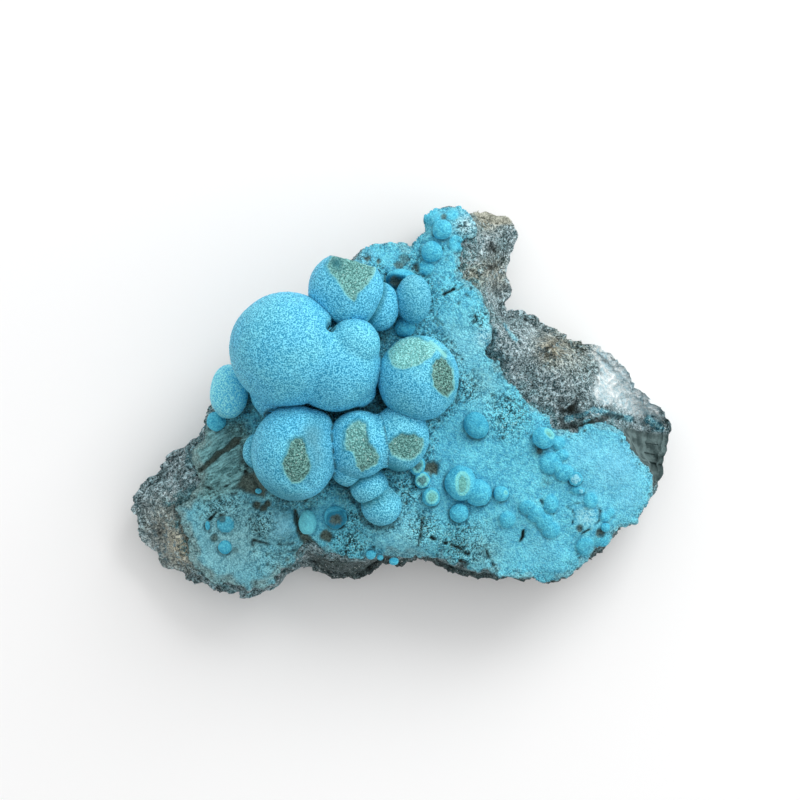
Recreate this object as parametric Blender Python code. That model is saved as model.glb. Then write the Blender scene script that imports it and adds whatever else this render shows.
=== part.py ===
"""Chrysocolla and malachite specimen: a cabinet-sized piece of grey host rock that carries a crust
of blue chrysocolla and a cluster of chrysocolla balls, some of them worn through to green malachite.

The specimen lies on its flat broken back, with the crust upwards. Lengths in this file are in
millimetres until a mesh is made, and the origin is the middle of the resting face.
"""

import math
import random

import bmesh
import bpy
import numpy as np
from mathutils import geometry

# ---------------------------------------------------------------- driving dimensions, millimetres

MM = 0.001  # Blender works in metres
SEAM = 0.32  # space left between two sub-parts that touch

DOME_TOP = 29.5  # highest level of the crust's plain surface
DOME_CENTRE = (8.0, -4.0)
DOME_FALL = (0.0026, 0.0020)  # how fast the surface drops away from its centre, per mm
CRUST_THICKNESS = 2.3
CRUST_EDGE = 1.2  # thickness at the crust's broken edges
CRUST_EDGE_UNEVEN = 0.6
CRUST_ROUGHNESS = 0.9
CRUST_ROUNDING = 3.0  # width over which the crust gains its full thickness

PLAN_SPACING = 4.3  # distance between neighbouring points of the rock and the crust
RIM_HEIGHT = 11.0  # level at which the rock is widest
RIM_UNEVEN = 4.2
SHOULDER = 7.0  # width of the rock's slope down to its rim
ROCK_ROUGHNESS = 1.5
FLANK = ((0.988, 0.66), (0.95, 0.34), (0.895, 0.1), (0.83, 0.0))  # width and level under the rim
FLANK_CHIPS = 0.085  # how deep the flank is chipped, as a share of its width

# The rock's outline at its rim, anticlockwise from its right-hand end.
ROCK_OUTLINE = (
    (67.0, -7.1), (66.2, -4.1), (63.5, -1.1), (59.8, 3.1), (57.3, 5.6), (54.8, 9.4), (52.3, 12.1),
    (47.3, 14.3), (43.5, 15.1), (37.5, 18.8), (34.8, 19.6), (32.8, 21.1), (30.1, 23.1),
    (26.6, 22.8), (25.8, 25.3), (27.8, 28.1), (26.6, 31.1), (26.6, 33.8), (27.3, 37.3),
    (29.1, 41.8), (27.8, 45.5), (23.3, 46.0), (20.3, 47.3), (17.3, 46.5), (14.1, 48.5),
    (9.6, 48.5), (6.4, 47.0), (6.0, 43.3), (4.5, 41.4), (2.4, 39.5), (-2.4, 39.7), (-7.4, 38.8),
    (-10.4, 37.3), (-12.6, 34.8), (-16.1, 32.3), (-19.6, 29.1), (-24.3, 25.3), (-29.3, 22.6),
    (-34.1, 18.8), (-37.1, 14.1), (-39.3, 9.4), (-42.0, 5.1), (-45.8, 0.4), (-48.8, -3.4),
    (-49.3, -6.4), (-51.5, -9.6), (-57.3, -13.1), (-59.5, -15.6), (-61.3, -18.8), (-65.0, -21.3),
    (-66.7, -24.6), (-65.2, -27.6), (-65.0, -31.6), (-64.0, -35.1), (-60.5, -36.8), (-59.5, -40.3),
    (-56.8, -42.0), (-52.5, -43.5), (-46.0, -46.5), (-42.0, -47.5), (-38.5, -48.5), (-34.1, -47.8),
    (-30.8, -46.0), (-29.1, -43.3), (-25.8, -41.8), (-22.3, -41.5), (-16.8, -44.0), (-11.1, -44.0),
    (-7.6, -42.0), (-4.1, -40.0), (-0.4, -41.5), (5.1, -39.0), (11.6, -42.0), (15.8, -43.8),
    (20.8, -44.5), (25.6, -43.8), (32.3, -44.3), (37.3, -46.0), (42.3, -44.0), (46.8, -39.8),
    (51.3, -36.8), (52.8, -34.1), (55.8, -31.8), (59.8, -30.6), (62.3, -24.6), (65.0, -19.1),
    (66.0, -15.1), (66.5, -11.1),
)

# The crust's outline, clockwise from the knob at the top.
CRUST_OUTLINE = (
    (14.0, 47.1), (14.2, 40.5), (15.4, 36.4), (14.2, 30.0), (18.1, 27.4), (20.8, 22.7),
    (22.3, 17.4), (20.8, 12.0), (25.9, 5.2), (30.0, 0.4), (33.9, -2.8), (37.8, -6.9), (42.4, -7.2),
    (46.1, -4.7), (49.2, -4.0), (53.4, -6.7), (56.3, -11.3), (60.7, -16.2), (61.4, -20.1),
    (59.7, -24.7), (57.5, -29.1), (53.1, -31.0), (50.0, -34.9), (44.9, -38.5), (40.7, -42.2),
    (35.9, -43.7), (31.5, -40.5), (24.2, -41.2), (16.9, -37.6), (12.0, -35.6), (7.2, -34.9),
    (4.3, -36.6), (-0.1, -37.6), (-5.0, -36.6), (-12.3, -37.6), (-19.6, -35.6), (-23.0, -34.2),
    (-26.4, -38.5), (-29.1, -42.0), (-33.7, -45.8), (-37.8, -46.3), (-45.1, -44.4), (-49.7, -42.2),
    (-51.9, -38.5), (-52.2, -34.9), (-54.1, -31.3), (-54.8, -26.4), (-48.8, -19.6), (-50.7, -15.7),
    (-52.2, -12.3), (-48.8, -9.4), (-47.1, -4.5), (-43.4, -0.1), (-40.0, 4.3), (-37.1, 8.6),
    (-34.7, 13.3), (-31.7, 17.9), (-26.9, 21.5), (-22.0, 24.2), (-17.6, 28.1), (-14.2, 31.5),
    (-11.1, 34.2), (-8.4, 37.1), (-2.3, 38.3), (2.3, 37.8), (4.1, 39.7), (5.4, 42.2), (6.0, 45.6),
    (9.6, 47.1),
)

# Broad rises of the crust and hollows: place, radius and height.
CRUST_SWELLS = (
    (-30.0, -29.8, 5.0, 2.8),
    (-0.1, -32.2, 7.5, 1.8),
    (10.0, 43.0, 5.0, 2.5),
    (-46.0, -30.0, 6.0, -1.6),
    (-35.0, -41.0, 6.0, 1.4),
    (26.0, -35.0, 7.0, -1.5),
    (44.0, -27.0, 8.0, 1.2),
    (-15.7, -33.0, 2.6, -1.2),
)

# Rises and pits of the bare rock: place, radius and height over the plain surface.
ROCK_RELIEF = (
    (21.5, 41.5, 6.0, 3.6),
    (24.0, 37.5, 1.9, -2.6),
    (21.2, 32.8, 2.3, -3.0),
    (24.2, 29.0, 2.0, -1.8),
    (28.0, 15.0, 6.0, 1.6),
    (36.5, 12.8, 3.0, -3.0),
    (43.5, 9.5, 4.0, 1.8),
    (50.0, 4.5, 4.5, 2.2),
    (30.5, 6.5, 1.6, -1.6),
    (41.0, -1.5, 4.5, -2.0),
    (60.0, -3.0, 4.0, 1.8),
    (-58.0, -24.0, 4.0, 2.2),
    (-60.0, -32.0, 3.5, -1.8),
    (-56.5, -36.5, 3.0, 1.6),
)

# Flat fracture faces of the rock: a point on each, the way it faces in plan and its fall per mm.
FRACTURES = (
    ((57.6, -11.0, 21.0), (0.81, 0.58), 1.15),
    ((42.0, 10.0, 24.0), (0.55, 0.83), 0.75),
    ((26.0, 38.0, 27.5), (0.97, 0.22), 1.10),
    ((-58.0, -17.0, 19.0), (-0.86, 0.51), 0.85),
    ((-58.0, -38.0, 16.5), (-0.70, -0.71), 0.70),
    ((12.0, -41.0, 21.0), (0.10, -0.99), 1.60),
)

# Small balls fused to the crust: place and radius.
SMALL_BALLS = (
    (18.3, -5.7, 3.0), (14.5, -19.6, 3.9), (18.9, -22.2, 3.1), (14.2, -26.9, 2.4),
    (7.4, -23.4, 2.2), (5.2, -16.0, 2.7), (24.4, -22.2, 1.9), (25.9, -28.6, 1.9),
    (34.6, -8.9, 2.9), (36.3, -15.2, 2.4), (40.0, -18.4, 2.2), (33.6, -28.6, 2.0),
    (36.4, -31.3, 2.1), (46.3, -23.0, 1.8), (-22.5, -29.5, 2.7),
    (-15.7, -28.0, 2.9), (-42.4, -30.3, 2.5), (7.4, 36.8, 2.8), (9.9, 42.2, 2.2),
    (-0.4, 30.8, 3.6), (1.1, 18.0, 2.4), (-45.0, -4.8, 2.4),
)
BALL_LIFT = 0.15  # how far a small ball's centre stands over the crust, as a share of its radius
BALL_ROOT = 0.5  # how far over the crust's underside a small ball ends
FINE_BALL = 2.6  # a small ball over this radius gets the finer mesh

# Hollows in broken small balls: place, height over the crust and radius.
BROKEN_HOLLOWS = (
    (-1.4, 29.9, 4.6, 2.3),
    (15.2, -18.6, 4.7, 1.5),
    (5.2, -16.6, 3.6, 1.7),
    (7.6, -23.6, 2.8, 1.1),
    (-15.4, -28.6, 3.7, 1.3),
    (35.6, -8.0, 3.4, 1.3),
)

# The large balls: lobes (x, y, z, radius along x, radius along y), how softly the lobes run
# together, mesh fineness, and the broken windows (outline in plan and depth).
BALLS = {
    "great_botryoid": {
        "lobes": (
            (-27.0, 12.5, 38.0, 13.6, 13.6),
            (-15.6, 8.2, 37.0, 11.0, 11.0),
            (-11.5, 13.2, 40.5, 6.4, 6.4),
            (-27.9, 2.5, 34.0, 7.9, 7.9),
        ),
        "heart": (-23.5, 10.5, 37.0),
        "blend": 1.6,
        "cells": 9,
        "windows": (),
    },
    "top_botryoid": {
        "lobes": ((-13.0, 26.6, 36.0, 9.1, 9.1), (-4.9, 22.9, 33.0, 4.6, 6.0)),
        "heart": (-12.2, 26.2, 35.0),
        "blend": 0.5,
        "cells": 7,
        "windows": (
            (
                (
                    (-15.9, 34.3), (-13.1, 33.4), (-8.4, 32.6), (-6.5, 31.9), (-6.5, 29.1),
                    (-9.5, 25.6), (-10.7, 23.7), (-13.8, 25.6), (-16.4, 29.6), (-17.8, 31.5),
                ),
                1.7,
            ),
        ),
    },
    "drop_botryoid": {
        "lobes": ((3.2, 24.7, 32.0, 4.1, 5.8),),
        "heart": (3.0, 24.0, 31.6),
        "blend": 0.3,
        "cells": 5,
        "windows": (),
    },
    "right_botryoid": {
        "lobes": ((4.2, 5.6, 36.0, 9.6, 10.3),),
        "heart": (4.2, 5.6, 35.5),
        "blend": 0.5,
        "cells": 7,
        "windows": (
            (
                (
                    (-2.5, 12.8), (0.6, 15.4), (2.9, 15.4), (6.9, 13.8), (8.4, 12.1),
                    (6.9, 10.2), (2.2, 7.9), (-1.5, 9.1), (-2.7, 10.7),
                ),
                1.2,
            ),
            (
                (
                    (10.1, 10.1), (11.0, 9.8), (12.9, 5.8), (13.1, 3.4), (12.2, 1.5),
                    (9.6, 2.5), (7.9, 6.5), (7.7, 8.2), (8.9, 9.3),
                ),
                1.2,
            ),
        ),
    },
    "lower_left_botryoid": {
        "lobes": ((-25.3, -12.3, 35.0, 10.8, 11.5), (-35.1, -12.2, 31.0, 2.9, 2.9)),
        "heart": (-25.3, -12.3, 34.0),
        "blend": 0.6,
        "cells": 7,
        "windows": (
            (
                (
                    (-27.6, -9.1), (-23.6, -6.7), (-19.4, -8.1), (-17.5, -11.9), (-18.5, -17.5),
                    (-21.1, -21.3), (-26.0, -21.3), (-29.3, -18.0), (-28.1, -12.6),
                ),
                1.3,
            ),
        ),
    },
    "lower_middle_botryoid": {
        "lobes": (
            (-9.7, -9.7, 35.0, 7.4, 7.4),
            (-8.3, -18.9, 33.0, 5.8, 5.8),
            (-4.5, -23.7, 32.0, 5.1, 5.1),
        ),
        "heart": (-8.6, -14.6, 33.5),
        "blend": 0.6,
        "cells": 7,
        "windows": (
            (
                (
                    (-12.7, -4.4), (-10.8, -4.1), (-8.6, -7.5), (-8.2, -9.1), (-5.3, -12.2),
                    (-5.6, -14.3), (-7.2, -16.2), (-9.6, -17.1), (-10.5, -15.3),
                    (-12.7, -11.5), (-14.3, -10.8), (-13.6, -7.5),
                ),
                1.1,
            ),
        ),
    },
    "lower_right_botryoid": {
        "lobes": ((0.2, -8.8, 34.0, 6.4, 7.6),),
        "heart": (0.2, -8.8, 33.5),
        "blend": 0.5,
        "cells": 5,
        "windows": (
            (
                (
                    (-2.8, -10.8), (-1.5, -8.4), (1.5, -7.5), (4.5, -8.4), (5.8, -10.8),
                    (4.5, -13.2), (1.5, -14.1), (-1.5, -13.2),
                ),
                1.2,
            ),
        ),
    },
    "left_botryoid": {
        "lobes": ((-41.6, 2.3, 27.0, 4.6, 6.6),),
        "heart": (-41.8, 1.8, 27.0),
        "blend": 0.3,
        "cells": 5,
        "windows": (),
    },
}
WINDOW_LIP = 1.0  # width of a window's sloping edge
BASE_OVERHANG = 1.4  # how far past the crust's edge a ball's underside stays level

# Colours (linear RGB) and roughness of the two materials.
CHRYSOCOLLA = ((0.115, 0.435, 0.565, 1.0), 0.62)
HOST_ROCK = ((0.205, 0.270, 0.265, 1.0), 0.88)


# ---------------------------------------------------------------- the formulas of the surfaces


def lattice(cells, seed):
    """A repeatable value from -1 to 1 for every whole-numbered cell."""
    mixed = cells[:, 0] * 73856093 ^ cells[:, 1] * 19349663 ^ cells[:, 2] * 83492791
    mixed = (mixed ^ seed * 2654435761) & 0xFFFFFFFF
    mixed = ((mixed ^ (mixed >> 13)) * 1274126177) & 0xFFFFFFFF
    return ((mixed ^ (mixed >> 16)) & 0xFFFF) / 32767.5 - 1.0


def value_noise(points, size, seed):
    """Smooth noise from -1 to 1 over N x 3 points, with lumps of the given size."""
    scaled = points / size
    corner = np.floor(scaled)
    part = scaled - corner
    part = part * part * (3.0 - 2.0 * part)
    corner = corner.astype(np.int64)
    total = np.zeros(len(points))
    for step in np.ndindex(2, 2, 2):
        weight = np.prod(np.where(np.array(step) == 1, part, 1.0 - part), axis=1)
        total += weight * lattice(corner + np.array(step), seed)
    return total


def with_level(plan, level=0.0):
    """Plan points as N x 3 points at one level."""
    return np.column_stack((plan, np.full(len(plan), level)))


def smooth_step(value, low, high):
    t = np.clip((value - low) / (high - low), 0.0, 1.0)
    return t * t * (3.0 - 2.0 * t)


def inside_distance(plan, outline):
    """Distance from each plan point to an outline, positive inside it."""
    start = np.array(outline)
    end = np.roll(start, -1, axis=0)
    edge = end - start
    nearest = np.full(len(plan), np.inf)
    inside = np.zeros(len(plan), dtype=bool)
    for (ax, ay), (ex, ey) in zip(start, edge):
        px = plan[:, 0] - ax
        py = plan[:, 1] - ay
        t = np.clip((px * ex + py * ey) / (ex * ex + ey * ey), 0.0, 1.0)
        nearest = np.minimum(nearest, np.hypot(px - t * ex, py - t * ey))
        crosses = (ay > plan[:, 1]) != (ay + ey > plan[:, 1])
        if ey != 0.0:
            inside ^= crosses & (px < py * ex / ey)
    return np.where(inside, nearest, -nearest)


def dome(plan):
    """The plain surface that the crust follows."""
    across = plan - np.array(DOME_CENTRE)
    return DOME_TOP - (across * across) @ np.array(DOME_FALL)


def hills(plan, relief):
    """Sum of rounded rises and pits, each given as place, radius and height."""
    total = np.zeros(len(plan))
    for x, y, radius, height in relief:
        apart = (plan[:, 0] - x) ** 2 + (plan[:, 1] - y) ** 2
        total += height * np.exp(-apart / radius**2)
    return total


def seat(plan):
    """The rock's surface under the crust."""
    return dome(plan) - CRUST_THICKNESS - SEAM


def crust_surface(plan):
    """The crust's upper surface, thinner at its broken edges."""
    depth = inside_distance(plan, CRUST_OUTLINE)
    gain = smooth_step(depth, 0.0, CRUST_ROUNDING)
    edge = CRUST_EDGE + CRUST_EDGE_UNEVEN * value_noise(with_level(plan), 5.0, 21)
    thickness = edge + (CRUST_THICKNESS - edge) * gain
    lumps = value_noise(with_level(plan), 8.0, 31) + 0.5 * value_noise(with_level(plan), 4.5, 32)
    rough = CRUST_ROUGHNESS * lumps * smooth_step(gap_to_balls(plan), 0.0, 4.0)
    surface = dome(plan) - CRUST_THICKNESS + thickness
    return surface + gain * (hills(plan, CRUST_SWELLS) + rough)


def gap_to_balls(plan):
    """Rough distance in plan from the large balls, negative under them."""
    nearest = np.full(len(plan), np.inf)
    for ball in BALLS.values():
        for x, y, _, wide, deep in ball["lobes"]:
            apart = np.hypot((plan[:, 0] - x) / wide, (plan[:, 1] - y) / deep)
            nearest = np.minimum(nearest, (apart - 1.0) * min(wide, deep))
    return nearest


def rock_surface(plan):
    """The rock's upper surface: level under the crust, broken and uneven outside it."""
    to_crust = -inside_distance(plan, CRUST_OUTLINE)
    to_rim = np.maximum(inside_distance(plan, ROCK_OUTLINE), 0.0)
    free = smooth_step(to_crust, 0.2, 2.5)
    spots = with_level(plan)
    uneven = ROCK_ROUGHNESS * value_noise(spots, 7.5, 3)
    uneven += 0.5 * ROCK_ROUGHNESS * value_noise(spots, 3.6, 4)
    bare = seat(plan) + 1.2 + hills(plan, ROCK_RELIEF) + uneven
    for (x, y, level), facing, fall in FRACTURES:
        along = (plan - np.array((x, y))) @ np.array(facing)
        bare = np.minimum(bare, level - fall * along + 0.4 * uneven)
    surface = seat(plan) + free * (bare - seat(plan))
    strip = np.clip(to_rim + np.maximum(to_crust, 0.0), 0.5, SHOULDER)
    rise = smooth_step(to_rim, 0.0, strip)
    lowered = rim_level(plan) + rise * (surface - rim_level(plan))
    return np.where(to_crust > 0.0, lowered, seat(plan))


def rim_level(plan):
    """The level of the rock's widest line."""
    return RIM_HEIGHT + RIM_UNEVEN * value_noise(with_level(plan), 15.0, 8)


def lobes_distance(points, ball):
    """Rough distance to a ball's lobes, smoothly run together, negative inside."""
    total = None
    for x, y, z, wide, deep in ball["lobes"]:
        radii = np.array((wide, deep, 0.5 * (wide + deep)))
        scaled = (points - np.array((x, y, z))) / radii
        length = np.linalg.norm(scaled, axis=1) + 1e-9
        slope = np.linalg.norm(scaled / radii, axis=1) + 1e-9
        lobe = length * (length - 1.0) / slope
        if total is None:
            total = lobe
            continue
        mix = np.clip(0.5 + 0.5 * (total - lobe) / ball["blend"], 0.0, 1.0)
        total = total + mix * (lobe - total) - ball["blend"] * mix * (1.0 - mix)
    return total


def ball_floor(plan):
    """Lowest level that a ball may reach: on the crust, and lower past the crust's edge."""
    beyond = np.maximum(-inside_distance(plan, CRUST_OUTLINE) - BASE_OVERHANG, 0.0)
    return crust_surface(plan) - 1.5 * beyond + SEAM + 0.1


def outside_ball(points, name):
    """Positive where a point is outside what the named ball may fill."""
    ball = BALLS[name]
    own = lobes_distance(points, ball)
    result = own
    for other_name, other in BALLS.items():
        if other_name != name:
            result = np.maximum(result, own - lobes_distance(points, other) + SEAM)
    for x, y, radius in SMALL_BALLS:
        centre = np.array((x, y, small_ball_level(x, y, radius)))
        apart = np.linalg.norm(points - centre, axis=1)
        result = np.maximum(result, radius + SEAM - apart)
    return np.maximum(result, ball_floor(points[:, :2]) - points[:, 2])


def small_ball_level(x, y, radius):
    return float(crust_surface(np.array(((x, y),)))[0]) + BALL_LIFT * radius


# ---------------------------------------------------------------- meshes


def make_object(name, mesh, material, crease=42.0):
    """A smooth-shaded object, with creases over an angle, from a mesh in millimetres."""
    bmesh.ops.triangulate(mesh, faces=mesh.faces)
    bmesh.ops.scale(mesh, vec=(MM, MM, MM), verts=mesh.verts)
    data = bpy.data.meshes.new(name)
    mesh.to_mesh(data)
    mesh.free()
    data.shade_smooth()
    data.set_sharp_from_angle(angle=math.radians(crease))
    data.materials.append(material)
    made = bpy.data.objects.new(name, data)
    bpy.context.scene.collection.objects.link(made)
    return made


def make_material(name, colour, roughness):
    material = bpy.data.materials.new(name)
    material.use_nodes = True
    shader = material.node_tree.nodes["Principled BSDF"]
    shader.inputs["Base Color"].default_value = colour
    shader.inputs["Roughness"].default_value = roughness
    shader.inputs["Metallic"].default_value = 0.0
    return material


def plan_triangles():
    """Plan points and triangles over the rock, with both outlines as edges."""
    rock = np.array(ROCK_OUTLINE)
    crust = np.array(CRUST_OUTLINE)
    shaker = random.Random(5)
    points = [tuple(p) for p in rock] + [tuple(p) for p in crust]
    low, high = rock.min(axis=0), rock.max(axis=0)
    row_gap = PLAN_SPACING * math.sqrt(3.0) / 2.0
    spots = []
    for row in range(int((high[1] - low[1]) / row_gap) + 1):
        for column in range(int((high[0] - low[0]) / PLAN_SPACING) + 1):
            x = low[0] + (column + 0.5 * (row % 2)) * PLAN_SPACING
            y = low[1] + row * row_gap
            shake = 0.22 * PLAN_SPACING
            spots.append((x + shaker.uniform(-shake, shake), y + shaker.uniform(-shake, shake)))
    spots = np.array(spots)
    clear = inside_distance(spots, ROCK_OUTLINE) > 0.42 * PLAN_SPACING
    clear &= np.abs(inside_distance(spots, CRUST_OUTLINE)) > 0.42 * PLAN_SPACING
    points += [tuple(p) for p in spots[clear]]
    loops = []
    for first, count in ((0, len(rock)), (len(rock), len(crust))):
        loops += [(first + i, first + (i + 1) % count) for i in range(count)]
    made, _, faces, _, _, _ = geometry.delaunay_2d_cdt(points, loops, [], 1, 1e-4)
    return np.array([tuple(p) for p in made]), faces


def heart_of(face, plan):
    return plan[list(face)].mean(axis=0)


def build_matrix(plan, faces, material):
    """The host rock: its broken top, its flank and the flat face that it rests on."""
    mesh = bmesh.new()
    levels = rock_surface(plan)
    corners = [mesh.verts.new((x, y, z)) for (x, y), z in zip(plan, levels)]
    for face in faces:
        mesh.faces.new([corners[i] for i in face])
    mesh.normal_update()
    if sum(face.normal.z for face in mesh.faces) < 0.0:
        bmesh.ops.reverse_faces(mesh, faces=mesh.faces)
    rim = [edge for edge in mesh.edges if edge.is_boundary]
    ring = {corner for edge in rim for corner in edge.verts}
    home = {corner: (corner.co.x, corner.co.y, corner.co.z) for corner in ring}
    for width, level in FLANK:
        made = bmesh.ops.extrude_edge_only(mesh, edges=rim)["geom"]
        new_corners = [item for item in made if isinstance(item, bmesh.types.BMVert)]
        rim = [item for item in made if isinstance(item, bmesh.types.BMEdge) and item.is_boundary]
        moved = {}
        for corner in new_corners:
            below = min(home, key=lambda old: (old.co - corner.co).length)
            x, y, z = home[below]
            moved[corner] = (x, y, z)
            chip = abs(value_noise(np.array(((x, y, 16.0 * level),)), 11.0, 11)[0])
            inward = width * (1.0 - FLANK_CHIPS * chip)
            corner.co = (x * inward, y * inward, z * level)
        home = moved
    bmesh.ops.contextual_create(mesh, geom=rim)
    bmesh.ops.recalc_face_normals(mesh, faces=mesh.faces)
    return make_object("matrix", mesh, material, crease=22.0)


def sphere_mesh(cells):
    """A unit sphere from a subdivided cube, of nearly equal cells."""
    mesh = bmesh.new()
    bmesh.ops.create_cube(mesh, size=2.0)
    bmesh.ops.subdivide_edges(mesh, edges=mesh.edges, cuts=cells - 1, use_grid_fill=True)
    for corner in mesh.verts:
        bent = [math.tan(0.25 * math.pi * value) for value in corner.co]
        corner.co = bent
        corner.co.normalize()
    return mesh


def spheres_object(name, spheres):
    """Separate spheres in one mesh, to be joined to or cut from the crust, clear of its underside."""
    whole = bpy.data.meshes.new(name)
    gathered = bmesh.new()
    for x, y, z, radius in spheres:
        one = sphere_mesh(3 if radius > FINE_BALL else 2)
        bmesh.ops.scale(one, vec=(radius,) * 3, verts=one.verts)
        bmesh.ops.translate(one, vec=(x, y, z), verts=one.verts)
        one.to_mesh(whole)
        one.free()
        gathered.from_mesh(whole)
    places = np.array([tuple(corner.co) for corner in gathered.verts])
    lowest = seat(places[:, :2]) + SEAM + BALL_ROOT
    for corner, level in zip(gathered.verts, lowest):
        corner.co.z = max(corner.co.z, level)
    bmesh.ops.scale(gathered, vec=(MM, MM, MM), verts=gathered.verts)
    gathered.to_mesh(whole)
    gathered.free()
    made = bpy.data.objects.new(name, whole)
    bpy.context.scene.collection.objects.link(made)
    made.hide_render = True
    made.display_type = "WIRE"
    return made


def add_boolean(target, tool, operation):
    modifier = target.modifiers.new(tool.name, "BOOLEAN")
    modifier.operation = operation
    modifier.solver = "EXACT"
    modifier.use_self = True
    modifier.object = tool


def build_crust(plan, faces, material):
    """The chrysocolla crust: a thin layer over the rock with the small balls fused to it."""
    middles = np.array([heart_of(face, plan) for face in faces])
    kept = [face for face, depth in zip(faces, inside_distance(middles, CRUST_OUTLINE)) if depth > 0]
    used = sorted({corner for face in kept for corner in face})
    spots = plan[used]
    upper = crust_surface(spots)
    lower = seat(spots) + SEAM
    mesh = bmesh.new()
    top = {i: mesh.verts.new((x, y, z)) for i, (x, y), z in zip(used, spots, upper)}
    under = {i: mesh.verts.new((x, y, z)) for i, (x, y), z in zip(used, spots, lower)}
    for face in kept:
        mesh.faces.new([top[i] for i in face])
        mesh.faces.new([under[i] for i in reversed(face)])
    upper_corners = set(top.values())
    partner = {top[i]: under[i] for i in used}
    for edge in [e for e in mesh.edges if e.is_boundary and e.verts[0] in upper_corners]:
        first, second = edge.verts
        mesh.faces.new((first, second, partner[second], partner[first]))
    bmesh.ops.recalc_face_normals(mesh, faces=mesh.faces)
    crust = make_object("crust", mesh, material)
    balls = [(x, y, small_ball_level(x, y, r), r) for x, y, r in SMALL_BALLS]
    level = crust_surface(np.array([(x, y) for x, y, _, _ in BROKEN_HOLLOWS]))
    hollows = [(x, y, z + lift, r) for (x, y, lift, r), z in zip(BROKEN_HOLLOWS, level)]
    add_boolean(crust, spheres_object("small_balls", balls), "UNION")
    add_boolean(crust, spheres_object("broken_hollows", hollows), "DIFFERENCE")
    return crust


def build_ball(name, material):
    """One large ball: its lobes, flattened where it meets its neighbours, with its windows."""
    ball = BALLS[name]
    heart = np.array(ball["heart"])
    mesh = sphere_mesh(ball["cells"])
    aims = np.array([tuple(corner.co) for corner in mesh.verts])
    near = np.zeros(len(aims))
    far = np.full(len(aims), 40.0)
    for _ in range(26):
        middle = 0.5 * (near + far)
        outside = outside_ball(heart + aims * middle[:, None], name) > 0.0
        far = np.where(outside, middle, far)
        near = np.where(outside, near, middle)
    points = heart + aims * near[:, None]
    for outline, depth in ball["windows"]:
        within = inside_distance(points[:, :2], outline)
        upward = points[:, 2] > heart[2]
        sunk = depth * smooth_step(within, -0.3 * WINDOW_LIP, WINDOW_LIP) * upward
        points = points - aims * sunk[:, None]
    for corner, place in zip(mesh.verts, points):
        corner.co = place
    bmesh.ops.recalc_face_normals(mesh, faces=mesh.faces)
    return make_object(name, mesh, material)


def main():
    for old in list(bpy.data.objects):
        bpy.data.objects.remove(old)
    chrysocolla = make_material("chrysocolla", *CHRYSOCOLLA)
    host_rock = make_material("host_rock", *HOST_ROCK)
    plan, faces = plan_triangles()
    build_matrix(plan, faces, host_rock)
    build_crust(plan, faces, chrysocolla)
    for name in BALLS:
        build_ball(name, chrysocolla)


main()
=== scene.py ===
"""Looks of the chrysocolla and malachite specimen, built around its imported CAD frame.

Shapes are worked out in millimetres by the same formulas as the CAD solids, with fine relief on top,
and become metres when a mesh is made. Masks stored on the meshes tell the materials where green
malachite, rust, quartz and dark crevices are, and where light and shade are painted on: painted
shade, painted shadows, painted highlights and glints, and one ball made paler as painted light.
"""

import math

import bmesh
import bpy
import numpy as np
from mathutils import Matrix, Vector
from mathutils.geometry import delaunay_2d_cdt


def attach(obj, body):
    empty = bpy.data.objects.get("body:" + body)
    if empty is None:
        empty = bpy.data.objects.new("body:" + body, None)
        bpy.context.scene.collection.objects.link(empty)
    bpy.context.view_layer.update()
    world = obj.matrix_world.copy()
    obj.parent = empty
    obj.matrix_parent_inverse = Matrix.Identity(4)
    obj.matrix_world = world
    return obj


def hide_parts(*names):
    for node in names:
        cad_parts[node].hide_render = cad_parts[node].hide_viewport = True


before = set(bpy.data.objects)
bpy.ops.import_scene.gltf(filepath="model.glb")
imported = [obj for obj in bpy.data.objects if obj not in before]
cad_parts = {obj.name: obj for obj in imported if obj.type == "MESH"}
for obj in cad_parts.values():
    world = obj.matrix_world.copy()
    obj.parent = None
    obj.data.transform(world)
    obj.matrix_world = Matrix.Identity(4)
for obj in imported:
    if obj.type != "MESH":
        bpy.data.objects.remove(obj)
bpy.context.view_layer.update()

# ---------------------------------------------------------------- sizes, millimetres

MM = 0.001

DOME_TOP = 29.5
DOME_CENTRE = (8.0, -4.0)
DOME_FALL = (0.0026, 0.0020)
CRUST_THICKNESS = 2.3
CRUST_EDGE = 1.2
CRUST_EDGE_UNEVEN = 0.6
CRUST_ROUNDING = 3.0
CRUST_ROUGHNESS = 0.9
SEAM = -0.02  # the visible balls touch
RIM_HEIGHT = 11.0
RIM_UNEVEN = 4.2
SHOULDER = 7.0
ROCK_ROUGHNESS = 1.5
FLANK_WIDTHS = (1.0, 0.988, 0.95, 0.895, 0.83)
FLANK_LEVELS = (1.0, 0.66, 0.34, 0.1, 0.0)
FLANK_CHIPS = 0.085
BALL_LIFT = 0.30
BASE_OVERHANG = 1.4

PLAN_LOW = (-69.0, -51.0)  # corners of the plan that the maps cover
PLAN_HIGH = (69.0, 51.0)
CRUST_STEP = 0.36  # spacing of the crust's mesh
ROCK_STEP = 0.42  # spacing of the rock's mesh
LEDGE = 1.6  # width of the rock's steep upper edge
EDGE_RINGS = 14  # rings of the rock's mesh round that edge
FLANK_RINGS = 26  # and down its flank

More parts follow.
